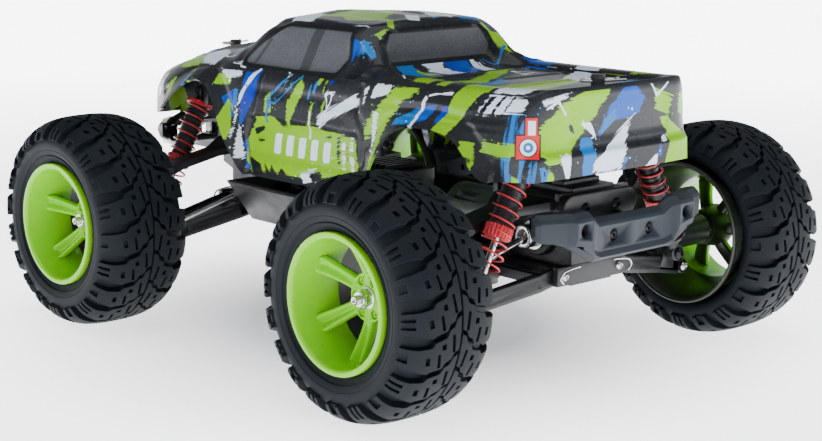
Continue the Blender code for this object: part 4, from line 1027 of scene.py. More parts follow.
            ([(-18, 26), (-12, 44), (-21, 44), (-21, 30)], 0, 1.2),
        ],
        "royal": [
            ([(0, 26), (-16, 26), (-14, 44), (1, 44)], 0, 1.6),
        ],
    },
    "nose": {  # nose
        "lime": [
            ([(34, 104), (20, 106), (14, 92), (34, 91)], 0, 1.0),
            ([(-34, 112), (-46, 108), (-44, 94), (-32, 96)], 0, 2.0),
        ],
        "cyan": [
            ([(30, 115), (21, 115), (22, 107), (29, 107)], 0, 1.2),
        ],
        "white": [
            ([(8, 114), (-6, 112), (-8, 98), (6, 100)], 0, 2.6),
        ],
        "royal": [
            ([(-14, 114), (-30, 112), (-26, 96), (-12, 98)], 0, 2.0),
        ],
    },
}

# Thin drawn lines: (colour, panel, points), white = 0 and cyan = 1.
LINES = {
    "side": [
        (0, [(-40, 131), (-47, 124), (-52, 115), (-53, 110)]),
        (0, [(-42, 128), (-49, 118), (-52, 111)]),
        (1, [(-16, 129), (-24, 122), (-29, 117)]),
        (1, [(-9, 128), (-17, 121), (-24, 114)]),
        (1, [(-29, 119), (-30, 104)]),
        (1, [(-31, 114), (-25, 114)]),
        (0, [(-22, 130), (-18, 126)]),
        (1, [(0, 125), (-1.5, 118)]),
        (0, [(2, 113), (3, 100)]),
        (0, [(11, 122), (16, 123), (14, 114), (11, 122)]),
        (0, [(56, 131), (66, 133)]),
        (0, [(79, 128), (83, 129), (92, 130)]),
        (1, [(-60, 112), (-57, 104)]),
        (0, [(110, 101), (112, 97)]),
    ],
    "tail": [
        (0, [(24, 119.5), (19, 119), (16, 114), (24, 119.5)]),
        (1, [(48, 103), (45, 101), (47, 96), (48, 103)]),
        (0, [(44, 127), (38, 130), (34, 124)]),
        (0, [(-20, 134), (-25, 127)]),
        (0, [(-25, 128), (-33, 133)]),
    ],
    "slope": [
        (0, [(-22, 30), (-20, 42)]),
        (1, [(-24, 26), (-30, 33), (-40, 30)]),
    ],
    "top": [
        (0, [(50, 56), (46, 50), (38, 44)]),
        (1, [(38, -4), (34, 6), (28, 10)]),
        (0, [(40, 8), (36, 14), (38, 20)]),
        (0, [(-20, 54), (-26, 64), (-16, 66), (-20, 54)]),
        (1, [(-30, 104), (-24, 116), (-34, 118)]),
        (0, [(10, -92), (-12, -78)]),
        (0, [(46, -70), (44, -84), (30, -104)]),
        (0, [(-6, -16), (-20, -4), (-14, 8)]),
    ],
}

LAYERS = ("royal", "cyan", "lime", "white", "ink")
PILLARS = [[(-53, 130), (-45, 143), (-42.6, 143), (-50.4, 130)],
           [(-17, 130), (-9.6, 130), (-7.4, 150), (-14.6, 150)]]


# Where the painted panels end, in millimetres
TAIL_FROM_Y = 128.5
TAIL_ALL_FROM_Y = 134.6
TAIL_BELOW_Z = 134.2
NOSE_TO_Y = -152
SLOPE_Y = (23, 46)
SLOPE_HALF = 42
SLOPE_BELOW_Z = 152
TOP_FROM_Z = 112


def panel_views(points, normals):
    """Points as each panel sees them, with a mask of the points that belong to it."""
    x, y, z = points.T
    facing_side = np.abs(normals[:, 0])
    flat = (np.abs(normals[:, 2]) > 0.80) & (z > TOP_FROM_Z)
    tail_facing = (normals[:, 1] > 0.60) | (y > TAIL_ALL_FROM_Y)
    tail = (y > TAIL_FROM_Y) & tail_facing & (z < TAIL_BELOW_Z)
    nose = y < NOSE_TO_Y
    slope = (y > SLOPE_Y[0]) & (y < SLOPE_Y[1]) & (np.abs(x) < SLOPE_HALF) & (z < SLOPE_BELOW_Z)
    side = ~tail & ~nose & ~slope & ~flat & (facing_side > 0.12)
    top = ~tail & ~nose & ~slope & ~side
    return {"side": (points[:, 1:], side), "tail": (points[:, ::2], tail), "nose": (points[:, ::2], nose),
            "slope": (points[:, :2], slope), "top": (points[:, :2], top)}


def paint_fields(points, normals):
    """For each layer: signed distance, tear and across-brush place of the nearest stroke."""
    views = panel_views(points, normals)
    fields = {layer: np.tile((30.0, 0.0, 0.0), (len(points), 1)) for layer in LAYERS}
    laid = [(layer, panel, *stroke) for panel, layers in STROKES.items()
            for layer, strokes in layers.items() for stroke in strokes]
    for layer, panel, shape, width, tear in laid:
        view, mask = views[panel]
        where = np.flatnonzero(mask)
        spots = view[where]
        if width:
            distance, across, overrun = path_field(spots, shape)
            distance = np.maximum(distance - width / 2, overrun)
        else:
            distance = polygon_field(spots, shape)
            heading = np.subtract(shape[1], shape[0]).astype(float)
            heading /= np.linalg.norm(heading)
            across = spots @ np.array((-heading[1], heading[0]))
        closer = distance < fields[layer][where, 0]
        chosen = where[closer]
        fields[layer][chosen, 0] = distance[closer]
        fields[layer][chosen, 1] = tear
        fields[layer][chosen, 2] = across[closer]
    lines = np.tile((9.0, -9.0, 0.0), (len(points), 1))
    best = np.full(len(points), 1e9)
    for panel, colour, path in [(panel, *line) for panel, drawn in LINES.items() for line in drawn]:
        view, mask = views[panel]
        where = np.flatnonzero(mask)
        distance, across, overrun = path_field(view[where], path)
        reach = np.maximum(distance, overrun * 1.5)
        closer = reach < best[where]
        chosen = where[closer]
        best[chosen] = reach[closer]
        lines[chosen, 0] = across[closer]
        lines[chosen, 1] = np.minimum(2.4 - distance, -overrun)[closer]
        lines[chosen, 2] = colour
    fields["lines"] = np.clip(lines, -9, 9)
    x, y, z = points.T
    lamp = np.tile((30.0, 30.0, 0.0), (len(points), 1))
    around = (y - 131.6) * 0.72 - (np.abs(x) - 49.4) * 0.72
    lamp[:, 0] = np.where(y < 112, -30.0, np.where(np.abs(x) < 38, 30.0, around))
    lamp[:, 1] = z - 112.6
    fields["lamp"] = lamp
    marks = np.zeros((len(points), 3))
    marks[:, 0] = glass_field(points)
    pillars = np.minimum(*[polygon_field(points[:, 1:], p) for p in PILLARS])
    marks[:, 1] = np.where(np.abs(x) > 38, pillars, 9.0)
    # distance to the door lines, where their grooves get painted shade
    door_groove_shade_reach = np.minimum(*[path_field(points[:, 1:], p)[0] for p in (DOOR_FRONT, DOOR_REAR)])
    marks[:, 2] = np.where((np.abs(x) > 54) & (z > 78), door_groove_shade_reach, 9.0)
    fields["marks"] = np.clip(marks, -9, 9)
    return fields


def attribute_parts(tree, name):
    source = add_node(tree, "Attribute", attribute_name=name)
    split = add_node(tree, "SeparateXYZ", {"Vector": source.outputs["Vector"]})
    return split.outputs[0], split.outputs[1], split.outputs[2]


def below(tree, value, edge, soft=0.14):
    """One where value is under the edge, with a thin soft border."""
    return remap(tree, value, edge + soft, edge - soft)


def stroke_mask(tree, name, seed, wobble, spatter):
    distance, tear, across = attribute_parts(tree, name)
    place_x = maths(tree, "MULTIPLY", across, 0.9)
    position = add_node(tree, "TexCoord").outputs["Object"]
    height = add_node(tree, "SeparateXYZ", {"Vector": position})
    drift = maths(tree, "MULTIPLY", maths(tree, "ADD", height.outputs[2], height.outputs[1]), 32.0)
    spot = add_node(tree, "CombineXYZ", {"X": place_x, "Y": drift, "Z": seed})
    bristle = add_node(tree, "TexNoise", {"Vector": spot.outputs[0], "Scale": 1.1, "Detail": 4.0,
                                          "Roughness": 0.7}).outputs["Fac"]
    fray = maths(tree, "MULTIPLY", remap(tree, bristle, 0.38, 0.66, -0.15, 0.62), tear)
    edge = maths(tree, "ADD", distance, fray)
    rough = maths(tree, "MULTIPLY", maths(tree, "SUBTRACT", noise_of(tree, 700.0, 4.0, 0.65), 0.5), wobble)
    edge = maths(tree, "ADD", edge, rough)
    solid = below(tree, edge, 0.0)
    cells = add_node(tree, "TexVoronoi", {"Vector": position, "Scale": 420.0, "Randomness": 1.0})
    size = remap(tree, noise_of(tree, 160.0 + seed, 2.0), 0.52, 0.70, 0.0, 0.34)
    near = remap(tree, distance, 9.0, 1.0)
    drop = maths(tree, "LESS_THAN", cells.outputs["Distance"], maths(tree, "MULTIPLY", size, near))
    drop = maths(tree, "MULTIPLY", drop, spatter)
    return maths(tree, "MAXIMUM", solid, drop)


def past_span(tree, value, low, high):
    """How far a value lies past the span from low to high; negative inside it."""
    offset = maths(tree, "SUBTRACT", value, (low + high) / 2)
    return maths(tree, "SUBTRACT", maths(tree, "ABSOLUTE", offset), (high - low) / 2)


def box_mask(tree, u, v, low, high):
    """One inside the rectangle between two (u, v) corners."""
    across = past_span(tree, u, low[0], high[0])
    upward = past_span(tree, v, low[1], high[1])
    return below(tree, maths(tree, "MAXIMUM", across, upward), 0.0)


def ring_mask(tree, u, v, centre, radius):
    """One inside a circle about a (u, v) centre."""
    squares = []
    for value, middle in zip((u, v), centre):
        offset = maths(tree, "SUBTRACT", value, middle)
        squares.append(maths(tree, "MULTIPLY", offset, offset))
    return below(tree, maths(tree, "SQRT", maths(tree, "ADD", *squares)), radius)


ROYAL = (0.0, 0.022, 0.36)
CYAN = (0.0, 0.14, 0.44)
LIME = (0.21, 0.47, 0.0)
WHITE = (0.68, 0.78, 0.90)
INK = (0.010, 0.011, 0.013)
LAMP_RED = (0.62, 0.012, 0.018)
# The printed tail lamp, back to front, in its own (u, v) millimetres about its middle
LAMP_BLOCKS = ((INK, (-5.6, -6.8), (5.6, 4.2)), (INK, (-1.8, 3.0), (4.6, 11.6)),
               (LAMP_RED, (-5.0, -6.2), (5.0, 3.6)), (LAMP_RED, (-1.2, 2.0), (4.0, 11.0)),
               (WHITE, (0.0, 3.8), (3.2, 9.8)))
LAMP_EYE = (0.2, -1.4)
LAMP_RINGS = ((INK, 4.0), (WHITE, 3.5), (CYAN, 2.2), (WHITE, 0.9))


def paint_material(name, inside):
    """Splash paint over gloss black, with smoked matt windows, printed lamps and painted shade along the door
    lines.
    """
    made = bpy.data.materials.new(name)
    made.use_nodes = True
    tree = made.node_tree
    shader = tree.nodes["Principled BSDF"]
    tone = mix_colour(tree, noise_of(tree, 40.0, 3.0), INK, (0.022, 0.024, 0.028))
    streaks = remap(tree, noise_of(tree, 900.0, 3.0, 0.6, (0.35, 0.35, 1.0)), 0.62, 0.74, 0.0, 0.05)
    tone = mix_colour(tree, streaks, tone, WHITE)
    blend = remap(tree, noise_of(tree, 34.0, 1.0), 0.42, 0.58)
    royal = mix_colour(tree, blend, ROYAL, (0.0, 0.070, 0.42))
    masks = {}
    for seed, (layer, colour) in enumerate(zip(LAYERS, (royal, CYAN, LIME, WHITE, INK))):
        spatter = 0.0 if layer in ("royal", "ink") else 1.0
        masks[layer] = stroke_mask(tree, layer, seed * 7.3, 0.8, spatter)
        tone = mix_colour(tree, masks[layer], tone, colour)
    across, reach, choice = attribute_parts(tree, "lines")
    thickness = remap(tree, noise_of(tree, 120.0, 2.0), 0.35, 0.65, 0.25, 0.75)
    thin = maths(tree, "LESS_THAN", maths(tree, "ABSOLUTE", across), thickness)
    thin = maths(tree, "MULTIPLY", thin, maths(tree, "GREATER_THAN", reach, 0.0))
    tone = mix_colour(tree, thin, tone, mix_colour(tree, choice, WHITE, CYAN))
    u, v, _ = attribute_parts(tree, "lamp")
    shapes = [(colour, box_mask(tree, u, v, low, high)) for colour, low, high in LAMP_BLOCKS]
    shapes += [(colour, ring_mask(tree, u, v, LAMP_EYE, radius)) for colour, radius in LAMP_RINGS]
    for colour, mask in shapes:
        tone = mix_colour(tree, mask, tone, colour)
    glass, pillar, door_groove_shade = attribute_parts(tree, "marks")
    trim = below(tree, glass, 2.8, 0.4)
    tone = mix_colour(tree, trim, tone, INK)
    pane = below(tree, glass, 0.0, 0.3)
    fog = remap(tree, noise_of(tree, 1400.0, 3.0, 0.7), 0.35, 0.75)
    smoked = mix_colour(tree, fog, (0.050, 0.053, 0.060), (0.105, 0.110, 0.120))
    band = maths(tree, "MULTIPLY", below(tree, pillar, 0.0, 0.3), 0.75)
    smoked = mix_colour(tree, band, smoked, (0.022, 0.023, 0.026))
    tone = mix_colour(tree, pane, tone, smoked)
    # painted shade: the door lines are darkened towards ink, as shade falls in their grooves
    tone = mix_colour(tree, maths(tree, "MULTIPLY", below(tree, door_groove_shade, 0.55, 0.35), 0.65), tone, INK)
    if inside:
        tone = mix_colour(tree, 0.55, tone, (0.030, 0.034, 0.036))
    tree.links.new(tone, shader.inputs["Base Color"])
    gloss = remap(tree, noise_of(tree, 55.0, 4.0, 0.6), 0.3, 0.7, 0.24, 0.34)
    tree.links.new(add_node(tree, "MapRange", {"Value": pane, "To Min": gloss, "To Max": 0.50}).outputs[0],
                   shader.inputs["Roughness"])
    shader.inputs["Coat Weight"].default_value = 0.03
    shader.inputs["Coat Roughness"].default_value = 0.12
    shader.inputs["Specular IOR Level"].default_value = 0.20
    fine = maths(tree, "MULTIPLY", noise_of(tree, 1600.0, 2.0), maths(tree, "ADD", 0.25, pane))
    bump = add_node(tree, "Bump", {"Strength": 0.10, "Distance": 0.0002, "Height": fine})
    tree.links.new(bump.outputs[0], shader.inputs["Normal"])
    return made


NOSE_DRAW_START, NOSE_DRAW_RUN = 95.0, 55.0
NOSE_DRAW_BACK, NOSE_DRAW_IN = 8.0, 0.11


def shell_mesh():
    grid, edge = shell_grid()
    grid = shaped(grid, edge)
    grid[:, -1, 0] = 0.0
    full = np.concatenate([grid, grid[:, -2::-1] * np.array((-1.0, 1.0, 1.0))], axis=1)
    rows, columns, _ = full.shape
    points = full.reshape(-1, 3)
    reach = np.clip((-points[:, 1] - NOSE_DRAW_START) / NOSE_DRAW_RUN, 0, 1)
    points[:, 1] += NOSE_DRAW_BACK * reach ** 1.5
    points[:, 0] *= 1 - NOSE_DRAW_IN * reach
    for (hole_x, hole_y), radius in TOP_HOLES:
        offset = points[:, :2] - np.array((hole_x, hole_y), float)
        distance = np.linalg.norm(offset, axis=1)
        ring = (points[:, 2] > 110) & (np.abs(distance - radius) < 0.7) & (distance > 0)
        points[ring, :2] += offset[ring] * ((radius - distance[ring]) / distance[ring])[:, None]
    full = points.reshape(full.shape)
    normals = np.cross(np.gradient(full, axis=1), np.gradient(full, axis=0)).reshape(-1, 3)
    normals /= np.maximum(np.linalg.norm(normals, axis=1, keepdims=True), 1e-6)
    if normals[(rows // 2) * columns + columns // 2, 2] < 0:
        normals = -normals
    fields = paint_fields(points, normals)
    first = np.arange(rows - 1)[:, None] * columns + np.arange(columns - 1)[None, :]
    faces = np.stack([first, first + 1, first + columns + 1, first + columns], axis=-1).reshape(-1, 4)
    centres = points[faces].mean(axis=1)
    keep = np.ones(len(faces), bool)
    for (hole_x, hole_y), radius in TOP_HOLES:
        distance = np.hypot(centres[:, 0] - hole_x, centres[:, 1] - hole_y)
        keep &= (distance > radius - 0.25) | (centres[:, 2] < 110)
    mesh = bpy.data.meshes.new("skin")
    mesh.from_pydata((points * MM).tolist(), [], faces[keep].tolist())
    for name, values in fields.items():
        layer = mesh.attributes.new(name, "FLOAT_VECTOR", "POINT")
        layer.data.foreach_set("vector", values.astype(np.float32).ravel())
    loose = bmesh.new()
    loose.from_mesh(mesh)
    bmesh.ops.delete(loose, geom=[v for v in loose.verts if not v.link_faces], context="VERTS")
    bmesh.ops.recalc_face_normals(loose, faces=loose.faces)
    loose.faces.ensure_lookup_table()
    top = max(loose.faces, key=lambda face: face.calc_center_median().z)
    if top.normal.z < 0:
        bmesh.ops.reverse_faces(loose, faces=loose.faces)
    loose.to_mesh(mesh)
    loose.free()
    wall = {"thickness": SHELL_WALL * MM, "offset": -1.0, "use_even_offset": False, "material_offset": 1,
            "material_offset_rim": 0}
    return shade(evaluated(mesh, ("SOLIDIFY", wall)), 40.0)


def add_shell():
    mesh = shell_mesh()
    shell = add_piece("painted_shell", mesh, paint_material("splash_paint", False), "truck",
                      ("body_shell",))
    shell.data.materials.append(paint_material("splash_inside", True))


# ---------------------------------------------------------------- arms, hubs and shocks

INNER_PIVOT_X = 18.0
OUTER_PIVOT_X = 78.0
ARM_DROP = 11.5
LOWER_INNER_Z = 49.5
UPPER_INNER_Z = 82.5
ARM_LENGTH = math.hypot(OUTER_PIVOT_X - INNER_PIVOT_X, ARM_DROP)
DROOP_ANGLE = math.atan2(ARM_DROP, OUTER_PIVOT_X - INNER_PIVOT_X)
ARM_HALF = {"f": 13.0, "r": 17.0}
FORK_HALF = 9.6
SHOCK_TOP = (36.0, 108.0)
SHOCK_FOOT = (66.0, 47.5)
SHOCK_Y = {"f": FRONT_AXLE_Y - 10.0, "r": REAR_AXLE_Y + 13.5}
SHOCK_LENGTH = math.dist(SHOCK_TOP, SHOCK_FOOT)
SPRING_TOP = 8.3
SPRING_FOOT = SHOCK_LENGTH - 9.8
SPRING_RADIUS = 5.95
SPRING_WIRE = 0.52
SPRING_TURNS = 10


def node_copy(node, width=0.45, segments=2, angle=35.0):
    """A CAD node's own shape with its flat faces cleaned up and its edges rounded."""
    source = bpy.data.objects[node]
    mesh = source.data.copy()
    mesh.transform(Matrix.Translation(-TRUCK_SHIFT * MM) @ source.matrix_world)
    bm = bmesh.new()
    bm.from_mesh(mesh)
    bmesh.ops.remove_doubles(bm, verts=bm.verts, dist=1e-6)
    bmesh.ops.dissolve_limit(bm, angle_limit=math.radians(1.0), verts=bm.verts, edges=bm.edges)
    bm.to_mesh(mesh)
    bm.free()
    return bevelled(mesh, width, segments, angle, 35.0)


def add_copy(node, width, material, body="truck", trim=None):
    """Stand a rounded copy of a CAD node in for it, with any trim that belongs to it."""
    mesh = node_copy(node, width)
    if trim is not None:
        mesh = merged([mesh, *trim])
    return add_piece(f"{node}_look", mesh, material, body, (node,))


def screw_mesh(radius=2.6, height=1.7):
    """Button head with a hexagon socket, its seat at x = 0 and its top along +X."""
    head = turned_bar([(-1.0, radius * 0.98), (0.25, radius), (height * 0.55, radius * 0.86),
                       (height * 0.9, radius * 0.55), (height, radius * 0.5)], 28, smooth=50.0)
    socket = turned_bar([(height * 0.35, radius * 0.46), (height + 1, radius * 0.46)], 6)
    return boolean(head, socket)


SCREW = screw_mesh()


def screw_at(point, direction, scale=1.0):
    mesh = SCREW.copy()
    mesh.transform(Matrix.Scale(scale, 4))
    return aligned(mesh, point, Vector(point) + Vector(direction))


def round_bar(start, end, radius, segments=28, chamfer=0.35):
    length = (Vector(end) - Vector(start)).length
    bar = turned_bar([(0, radius - chamfer), (chamfer, radius), (length - chamfer, radius),
                      (length, radius - chamfer)], segments)
    return aligned(bar, start, end)


def ribbon(path, width, low, high):
    """A wall of even width that follows a path, with its outer face on the path's left."""
    path = [Vector((*p, 0)) for p in path]
    inner = []
    for i, point in enumerate(path):
        before = (point - path[i - 1]).normalized() if i else (path[1] - point).normalized()
        after = (path[i + 1] - point).normalized() if i + 1 < len(path) else before
        bisector = (before + after).normalized()
        normal = Vector((-bisector.y, bisector.x, 0))
        inner.append(point - normal * width / max(0.4, bisector.dot(after)))
    outline = [(p.x, p.y) for p in path] + [(p.x, p.y) for p in reversed(inner)]
    return bevelled(prism_mesh(outline, low, high, "Z"), 0.4, 2)


def arm_trim(half, level):
    """Raised rims, cross ribs and smooth barrels that stiffen a wishbone, drawn flat along +X."""
    parts = []
    deep = 3.9 if level == "lower" else 3.1
    for side in (1, -1):
        if level == "lower":
            run = [(1.5, side * half), (12, side * half), (44, side * FORK_HALF),
                   (ARM_LENGTH - 3, side * FORK_HALF)]
            if side > 0:
                parts.append(ribbon(run, 2.4, -deep, deep))
            else:
                parts.append(ribbon(run[::-1], 2.4, -deep, deep))
            inner = half - 6
            run = [(9.5, side * inner), (39.5, side * 4.8), (39.5, 0)]
            parts.append(ribbon(run[::-1] if side > 0 else run, 1.5, -deep + 0.8, deep - 0.8))
    if level == "lower":
        for x in (45.5, 51.0):
            parts.append(bevelled(box_mesh((x, -8.6, -deep + 0.6), (x + 1.5, 8.6, deep - 0.6)), 0.3, 1))
        parts.append(bevelled(box_mesh((6.0, -half + 1, -deep + 0.6), (7.6, half - 1, deep - 0.6)), 0.3, 1))
    parts.append(round_bar((0, -half, 0), (0, half, 0), 3.55))
    for low, high in ((-FORK_HALF, -6.3), (6.3, FORK_HALF)):
        parts.append(round_bar((ARM_LENGTH, low, 0), (ARM_LENGTH, high, 0), 3.55))
    return merged(parts)


def hung(mesh, axle_y, height, side):
    """Move an arm drawn flat along +X to its pivot, at its droop, on either side."""
    mesh.transform(Matrix.Rotation(DROOP_ANGLE, 4, "Y"))
    return mirrored(moved(mesh, (INNER_PIVOT_X, axle_y, height)), side)


def add_arms(tag, side, axle_y):
    """Both wishbones, the upright and, at the front, the knuckle of one corner."""
    front = tag[0] == "f"
    for level, height, metal in (("lower", LOWER_INNER_Z, STEEL), ("upper", UPPER_INNER_Z, BLACK_STEEL)):
        node = f"{level}_arm_{tag}"
        trim = hung(arm_trim(ARM_HALF[tag[0]], level), axle_y, height, side)
        add_copy(node, 0.6, BLACK_NYLON, node, [trim])
        ends = []
        for way in (-1, 1):
            seat = (side * OUTER_PIVOT_X, axle_y + way * (FORK_HALF + 0.1), height - ARM_DROP)
            ends.append(screw_at(seat, (0, way, 0), 0.85))
        add_piece(f"{level}_hinge_screws_{tag}", merged(ends), metal, node)

    def bearing(inner_x, radius):
        return round_bar((side * inner_x, axle_y, AXLE_Z), (side * 100.7, axle_y, AXLE_Z), radius)

    add_copy(f"carrier_{tag}", 0.5, BLACK_NYLON, f"carrier_{tag}",
             [] if front else [bearing(74.0, 7.5)])
    if front:
        add_copy(f"knuckle_{tag}", 0.5, BLACK_NYLON, f"knuckle_{tag}", [bearing(86.5, 6.9)])


def shock_eye(x):
    ring = turned_ring([(-2.4, 2.2), (-2.4, 3.5), (-1.9, 3.95), (1.9, 3.95), (2.4, 3.5), (2.4, 2.2)], 32)
    ring.transform(Matrix.Rotation(math.pi / 2, 4, "Z"))
    return moved(ring, (x, 0, 0))


def ribbed_cap(start, end, radius, ribs=22, depth=0.45):
    rings = []
    count = ribs * 4
    for x, shrink in ((start, 0.9), (start + 0.5, 0.0), (end - 0.8, 0.0), (end, 1.0)):
        ring = []
        for i in range(count):
            angle = math.tau * i / count
            reach = radius - shrink - (depth if i % 4 in (2, 3) else 0.0)
            ring.append((x, reach * math.sin(angle), reach * math.cos(angle)))
        rings.append(ring)
    return rings_mesh(rings, smooth=30.0)


def shock_meshes():
    """Body, red caps, rod, seat and spring of one shock, each drawn along +X from its top eye."""
    profile = [(3.2, 2.4), (4.8, 3.0), (5.0, 5.2), (8.2, 5.2), (8.6, 4.75)]
    x = 9.0
    while x < 33.0:
        profile += [(x, 4.75), (x + 0.3, 5.15), (x + 1.0, 5.15), (x + 1.3, 4.75)]
        x += 2.0
    profile += [(33.8, 4.75), (34.2, 4.9), (40.6, 4.9), (40.9, 1.9)]
    body = merged([turned_bar(profile, 48, smooth=40.0), shock_eye(0),
                   bevelled(box_mesh((2.6, -1.9, -2.2), (6, 1.9, 2.2)), 0.4, 2)])
    caps = merged([ribbed_cap(5.2, 7.9, 6.95, 30, 0.3), ribbed_cap(35.6, 41.6, 6.3)])
    rod = turned_bar([(24.0, 1.45), (SPRING_FOOT + 3.0, 1.45)], 28)
    dish = [(SPRING_FOOT + 0.35, 5.0), (SPRING_FOOT + 0.35, 6.95), (SPRING_FOOT + 1.6, 7.0),
            (SPRING_FOOT + 2.2, 6.2), (SPRING_FOOT + 4.2, 3.1), (SHOCK_LENGTH - 3.0, 2.7)]
    seat = merged([turned_bar(dish, 40), shock_eye(SHOCK_LENGTH)])
    start, end = SPRING_TOP + SPRING_WIRE - 0.2, SPRING_FOOT - SPRING_WIRE + 0.2
    points = []
    per_turn = 28
    steps = SPRING_TURNS * per_turn
    for i in range(steps + 1):
        share = i / steps
        place_x = start + (end - start) * share
        angle = math.tau * i / per_turn
        points.append((place_x, SPRING_RADIUS * math.sin(angle), SPRING_RADIUS * math.cos(angle)))
    return body, caps, rod, seat, tube_mesh(points, SPRING_WIRE, 8)


def add_shocks():
    meshes = shock_meshes()
    for tag, (side, _) in CORNERS.items():
        y = SHOCK_Y[tag[0]]
        top = Vector((side * SHOCK_TOP[0], y, SHOCK_TOP[1]))
        foot = Vector((side * SHOCK_FOOT[0], y, SHOCK_FOOT[1]))
        body, caps, rod, seat, spring = (aligned(mesh.copy(), top, foot) for mesh in meshes)
        add_piece(f"shock_body_{tag}_look", body, SHOCK_BLACK, f"shock_body_{tag}",
                  (f"shock_body_{tag}",))
        add_piece(f"shock_caps_{tag}", caps, SPRING_RED, f"shock_body_{tag}")
        add_piece(f"shock_rod_{tag}_look", rod, STEEL, f"shock_rod_{tag}", (f"shock_rod_{tag}",))
        add_piece(f"shock_seat_{tag}", seat, SHOCK_BLACK, f"shock_rod_{tag}")
        coil = add_piece(f"spring_{tag}_look", spring, SPRING_RED, f"shock_body_{tag}",
                         (f"spring_{tag}",))
        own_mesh(coil)
        way = -1 if tag[0] == "f" else 1
        head = screw_at((foot.x, y + way * 3.1, foot.z), (0, way, 0), 1.0)
        add_piece(f"shock_foot_screw_{tag}", head, BLACK_STEEL, f"lower_arm_{tag}")


# ---------------------------------------------------------------- bumpers

def loft_mesh(stations, bevel=0.5):
    """Close a run of cross sections, each (x, [(y, z), ...]), into one bevelled bar along X."""
    rings = [[(x, y, z) for y, z in section] for x, section in stations]
    return bevelled(rings_mesh(rings), bevel, 2, 14.0, 19.0)


def rear_bumper_section(back, face, top, low, lip, lip_top):
    return [(back, low), (back, top), (face - 3.4, top), (face - 0.8, top - 2.0), (face, top - 3.6),
            (face, lip_top), (lip, lip_top - 2.2), (lip, low + 1.6), (lip - 2.2, low)]


def rear_bumper_mesh():
    """Angular rear bar with raised end pads, a recessed middle and a shelf along its foot."""
    half = [(54.0, 139.0, 141.4, 82.4, 73.6, 141.2, 75.0), (52.2, 138.4, 143.4, 83.6, 72.4, 143.2, 74.0),
            (43.0, 138.6, 147.2, 83.6, 70.2, 147.0, 73.0), (41.0, 140.0, 148.0, 83.6, 69.8, 147.8, 72.6),
            (38.6, 142.0, 151.4, 83.6, 69.0, 150.6, 72.4), (28.6, 144.0, 151.6, 83.6, 63.4, 150.8, 70.6),
            (25.6, 144.0, 149.2, 82.6, 61.2, 150.4, 66.6), (21.4, 144.0, 148.2, 79.4, 60.9, 149.4, 65.0),
            (0.0, 144.0, 148.2, 79.4, 60.9, 149.4, 65.0)]
    stations = [(-x, rear_bumper_section(*rest)) for x, *rest in half]
    stations += [(x, rear_bumper_section(*rest)) for x, *rest in reversed(half[:-1])]
    bar = loft_mesh(stations, 0.55)
    for side in (-1, 1):
        bar = boolean(bar, round_bar((side * 33.2, 130, 76.0), (side * 33.2, 165, 76.0), 3.2, 32, 0.0))
        bar = boolean(bar, round_bar((side * 11.7, 145.6, 71.2), (side * 11.7, 165, 71.2), 2.9, 28, 0.0))
    legs = [bevelled(box_mesh((side * 11.7 - 4, 126.3, 66.2), (side * 11.7 + 4, 145.0, 75)), 0.5, 2)
            for side in (-1, 1)]
    return merged([bar, *legs])


def front_bumper_section(back, face, top, low):
    return [(back, low + 1), (back, top), (face + 2.6, top), (face + 0.6, top - 2.0), (face, top - 4.0),
            (face + 0.4, low + 3.4), (face + 2.6, low), (back - 1.0, low)]


def front_bumper_mesh():
    half = [(40.0, -148.0, -153.0, 88.0, 80.4), (36.0, -148.0, -157.0, 88.2, 78.4),
            (30.0, -154.0, -164.6, 88.2, 75.2), (22.0, -160.4, -169.6, 88.2, 72.4),
            (0.0, -161.0, -170.4, 88.2, 72.0)]
    stations = [(-x, front_bumper_section(*rest)) for x, *rest in half]
    stations += [(x, front_bumper_section(*rest)) for x, *rest in reversed(half[:-1])]
    bar = loft_mesh(stations, 0.8)
    for side in (-1, 0, 1):
        window = bevelled(box_mesh((side * 17 - 4.5, -180, 76.6), (side * 17 + 4.5, -152, 83.6)), 0.8, 2)
        bar = boolean(bar, window)
    legs = [bevelled(box_mesh((side * 15.5 - 3, -160.6, 74), (side * 15.5 + 3, -122.5, 81)), 0.5, 2)
            for side in (-1, 1)]
    return merged([bar, *legs])


def add_bumpers():
    add_piece("rear_bumper_look", rear_bumper_mesh(), BUMPER_GREY, "truck", ("rear_bumper",))
    heads = [screw_at((side * 11.7, 146.4, 71.2), (0, 1, 0), 1.0) for side in (-1, 1)]
    add_piece("rear_bumper_screws", merged(heads), BLACK_STEEL, "truck")
    add_piece("front_bumper_look", front_bumper_mesh(), BUMPER_BLACK, "truck",
              ("front_bumper",))


# ---------------------------------------------------------------- chassis, drive and small fittings

def add_towers():
    for end, way in (("front", -1), ("rear", 1)):
        tower = f"{end}_shock_tower"
        post_y, post_top = (-135.0, 131.3) if way < 0 else (126.0, 137.3)
        post = [round_bar((0, post_y, 103), (0, post_y, post_top), 3.05, 28, 0.8),
                round_bar((0, post_y, 102), (0, post_y, post_top - 9.5), 4.4, 28, 0.8)]
        x, z = SHOCK_TOP
        y = SHOCK_Y[end[0]]
        pins = []
        for side in (-1, 1):
            pins.append(screw_at((side * x, y + way * 3.4, z), (0, way, 0), 1.1))
        plate_y = y - way * 6.0
        outline = [(-30, 107), (-12, 92), (12, 92), (30, 107), (26, 110), (-26, 110)]
        rib = bevelled(prism_mesh(outline, plate_y, plate_y + way * 3.4, "Y"), 0.5, 2)
        add_copy(tower, 0.7, BLACK_NYLON, trim=[rib, *post])
        heads = []
        for side in (-1, 1):
            heads.append(screw_at((side * 8.5, plate_y + way * 3.4, 96.5), (0, way, 0), 0.9))
            heads.append(screw_at((side * 18.0, plate_y + way * 3.4, 104.5), (0, way, 0), 0.9))
        add_piece(f"{end}_tower_screws", merged(pins + heads), BLACK_STEEL, "truck")


